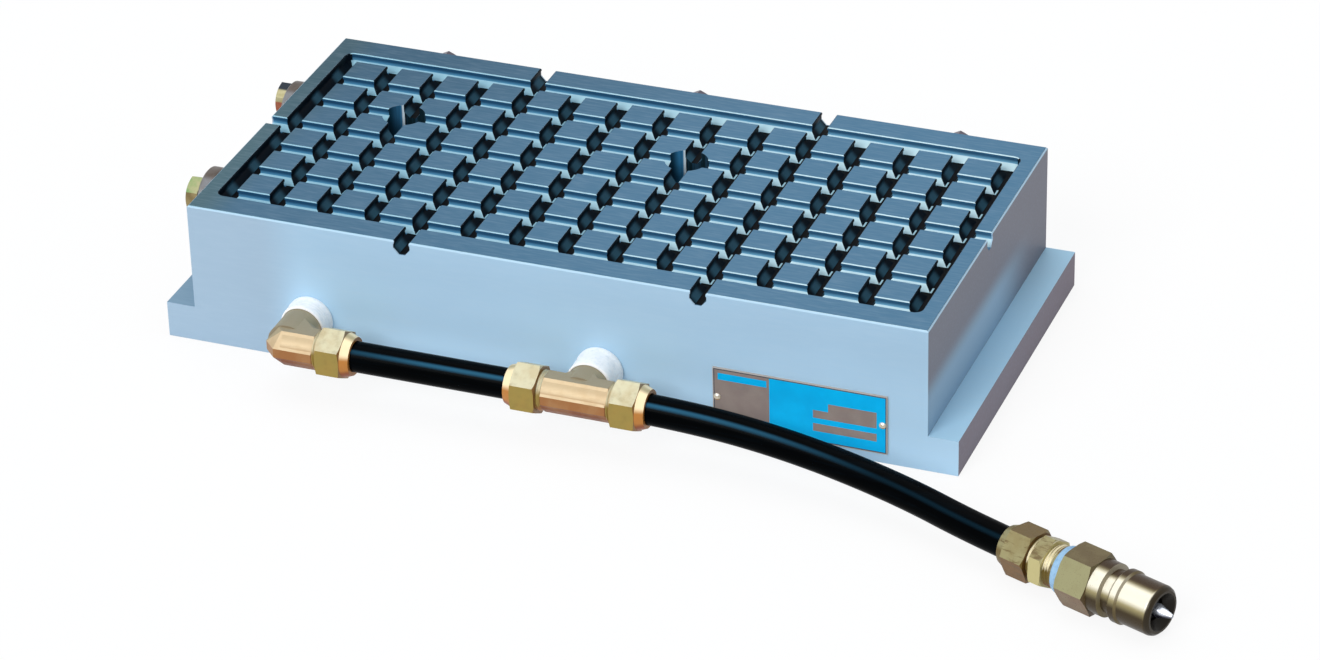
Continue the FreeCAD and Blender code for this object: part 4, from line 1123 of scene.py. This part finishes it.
material = bpy.data.materials.new("pale_floor")
material.use_nodes = True
tree = material.node_tree
tree.nodes.clear()
plain = add(tree, "ShaderNodeBsdfDiffuse", Color="#FAFAFA")
white = add(tree, "ShaderNodeEmission", Color="#FFFFFF", Strength=1.0)
two_looks(tree, plain, white, FLOOR_WHITE, "ShaderNodeOutputMaterial")

corners = np.array([(-1, -1, 0), (1, -1, 0), (1, 1, 0), (-1, 1, 0)]) * FLOOR_HALF
floor = new_piece("floor", corners - (0, 0, FLOOR_DROP), [(0, 1, 2, 3)], material, smooth=False)

# %% [markdown]
# ## World and lamps
#
# The world is white where it is seen, and a dimmer, cooler light where it lights the object. A
# broad lamp from the front and a little from the left lights the long side, so that the top and the
# right end are darker. A wide weak one from above fills the grooves. Area lamps nearby would do
# too, but far ones give every part of the object the same light.

# %% World and lamps
world = bpy.data.worlds.new("studio")
bpy.context.scene.world = world
world.use_nodes = True
tree = world.node_tree
tree.nodes.clear()
dim = add(tree, "ShaderNodeBackground", Color=(0.9, 0.95, 1.0, 1), Strength=0.5)
bright = add(tree, "ShaderNodeBackground", Color="#FFFFFF", Strength=1.0)
two_looks(tree, dim, bright, 1.0, "ShaderNodeOutputWorld")


def far_lamp(name, direction, strength, spread):
    """A lamp far away in a direction, as broad as its spread in degrees."""
    light = bpy.data.lights.new(name, "SUN")
    light.energy, light.angle = strength, np.radians(spread)
    into_scene(name, light).rotation_euler = Vector(direction).to_track_quat("Z", "Y").to_euler()
    print(name, "strength", strength, "spread", spread)


far_lamp("front_lamp", (-0.2, -0.78, 0.6), 1.7, 30)
far_lamp("top_lamp", (-0.1, 0.2, 1.0), 0.8, 60)

# %% [markdown]
# ## Camera
#
# The picture is taken from the front right and from above, with a long lens. The place, the angles
# and the lens were fitted to the corners of the block and to its front row of islands, so a
# rendered picture can be laid over the photograph.

# %% Camera
camera = into_scene("camera", bpy.data.cameras.new("camera"))
camera.data.sensor_width, camera.data.lens = 36.0, 132.05
camera.data.clip_start, camera.data.clip_end = 0.05, 50.0
camera.location = (0.61929, -1.52786, 0.95826)
camera.rotation_euler = Euler(np.radians([59.5733, 1.3081, 20.8132]), "XYZ")

scene = bpy.context.scene
scene.camera = camera
scene.view_settings.view_transform = "Standard"
print("camera lens, mm:", round(camera.data.lens, 2))

# %% [markdown]
# ## Last update
#
# The view layer is brought up to date once more.

# %% Update
bpy.context.view_layer.update()
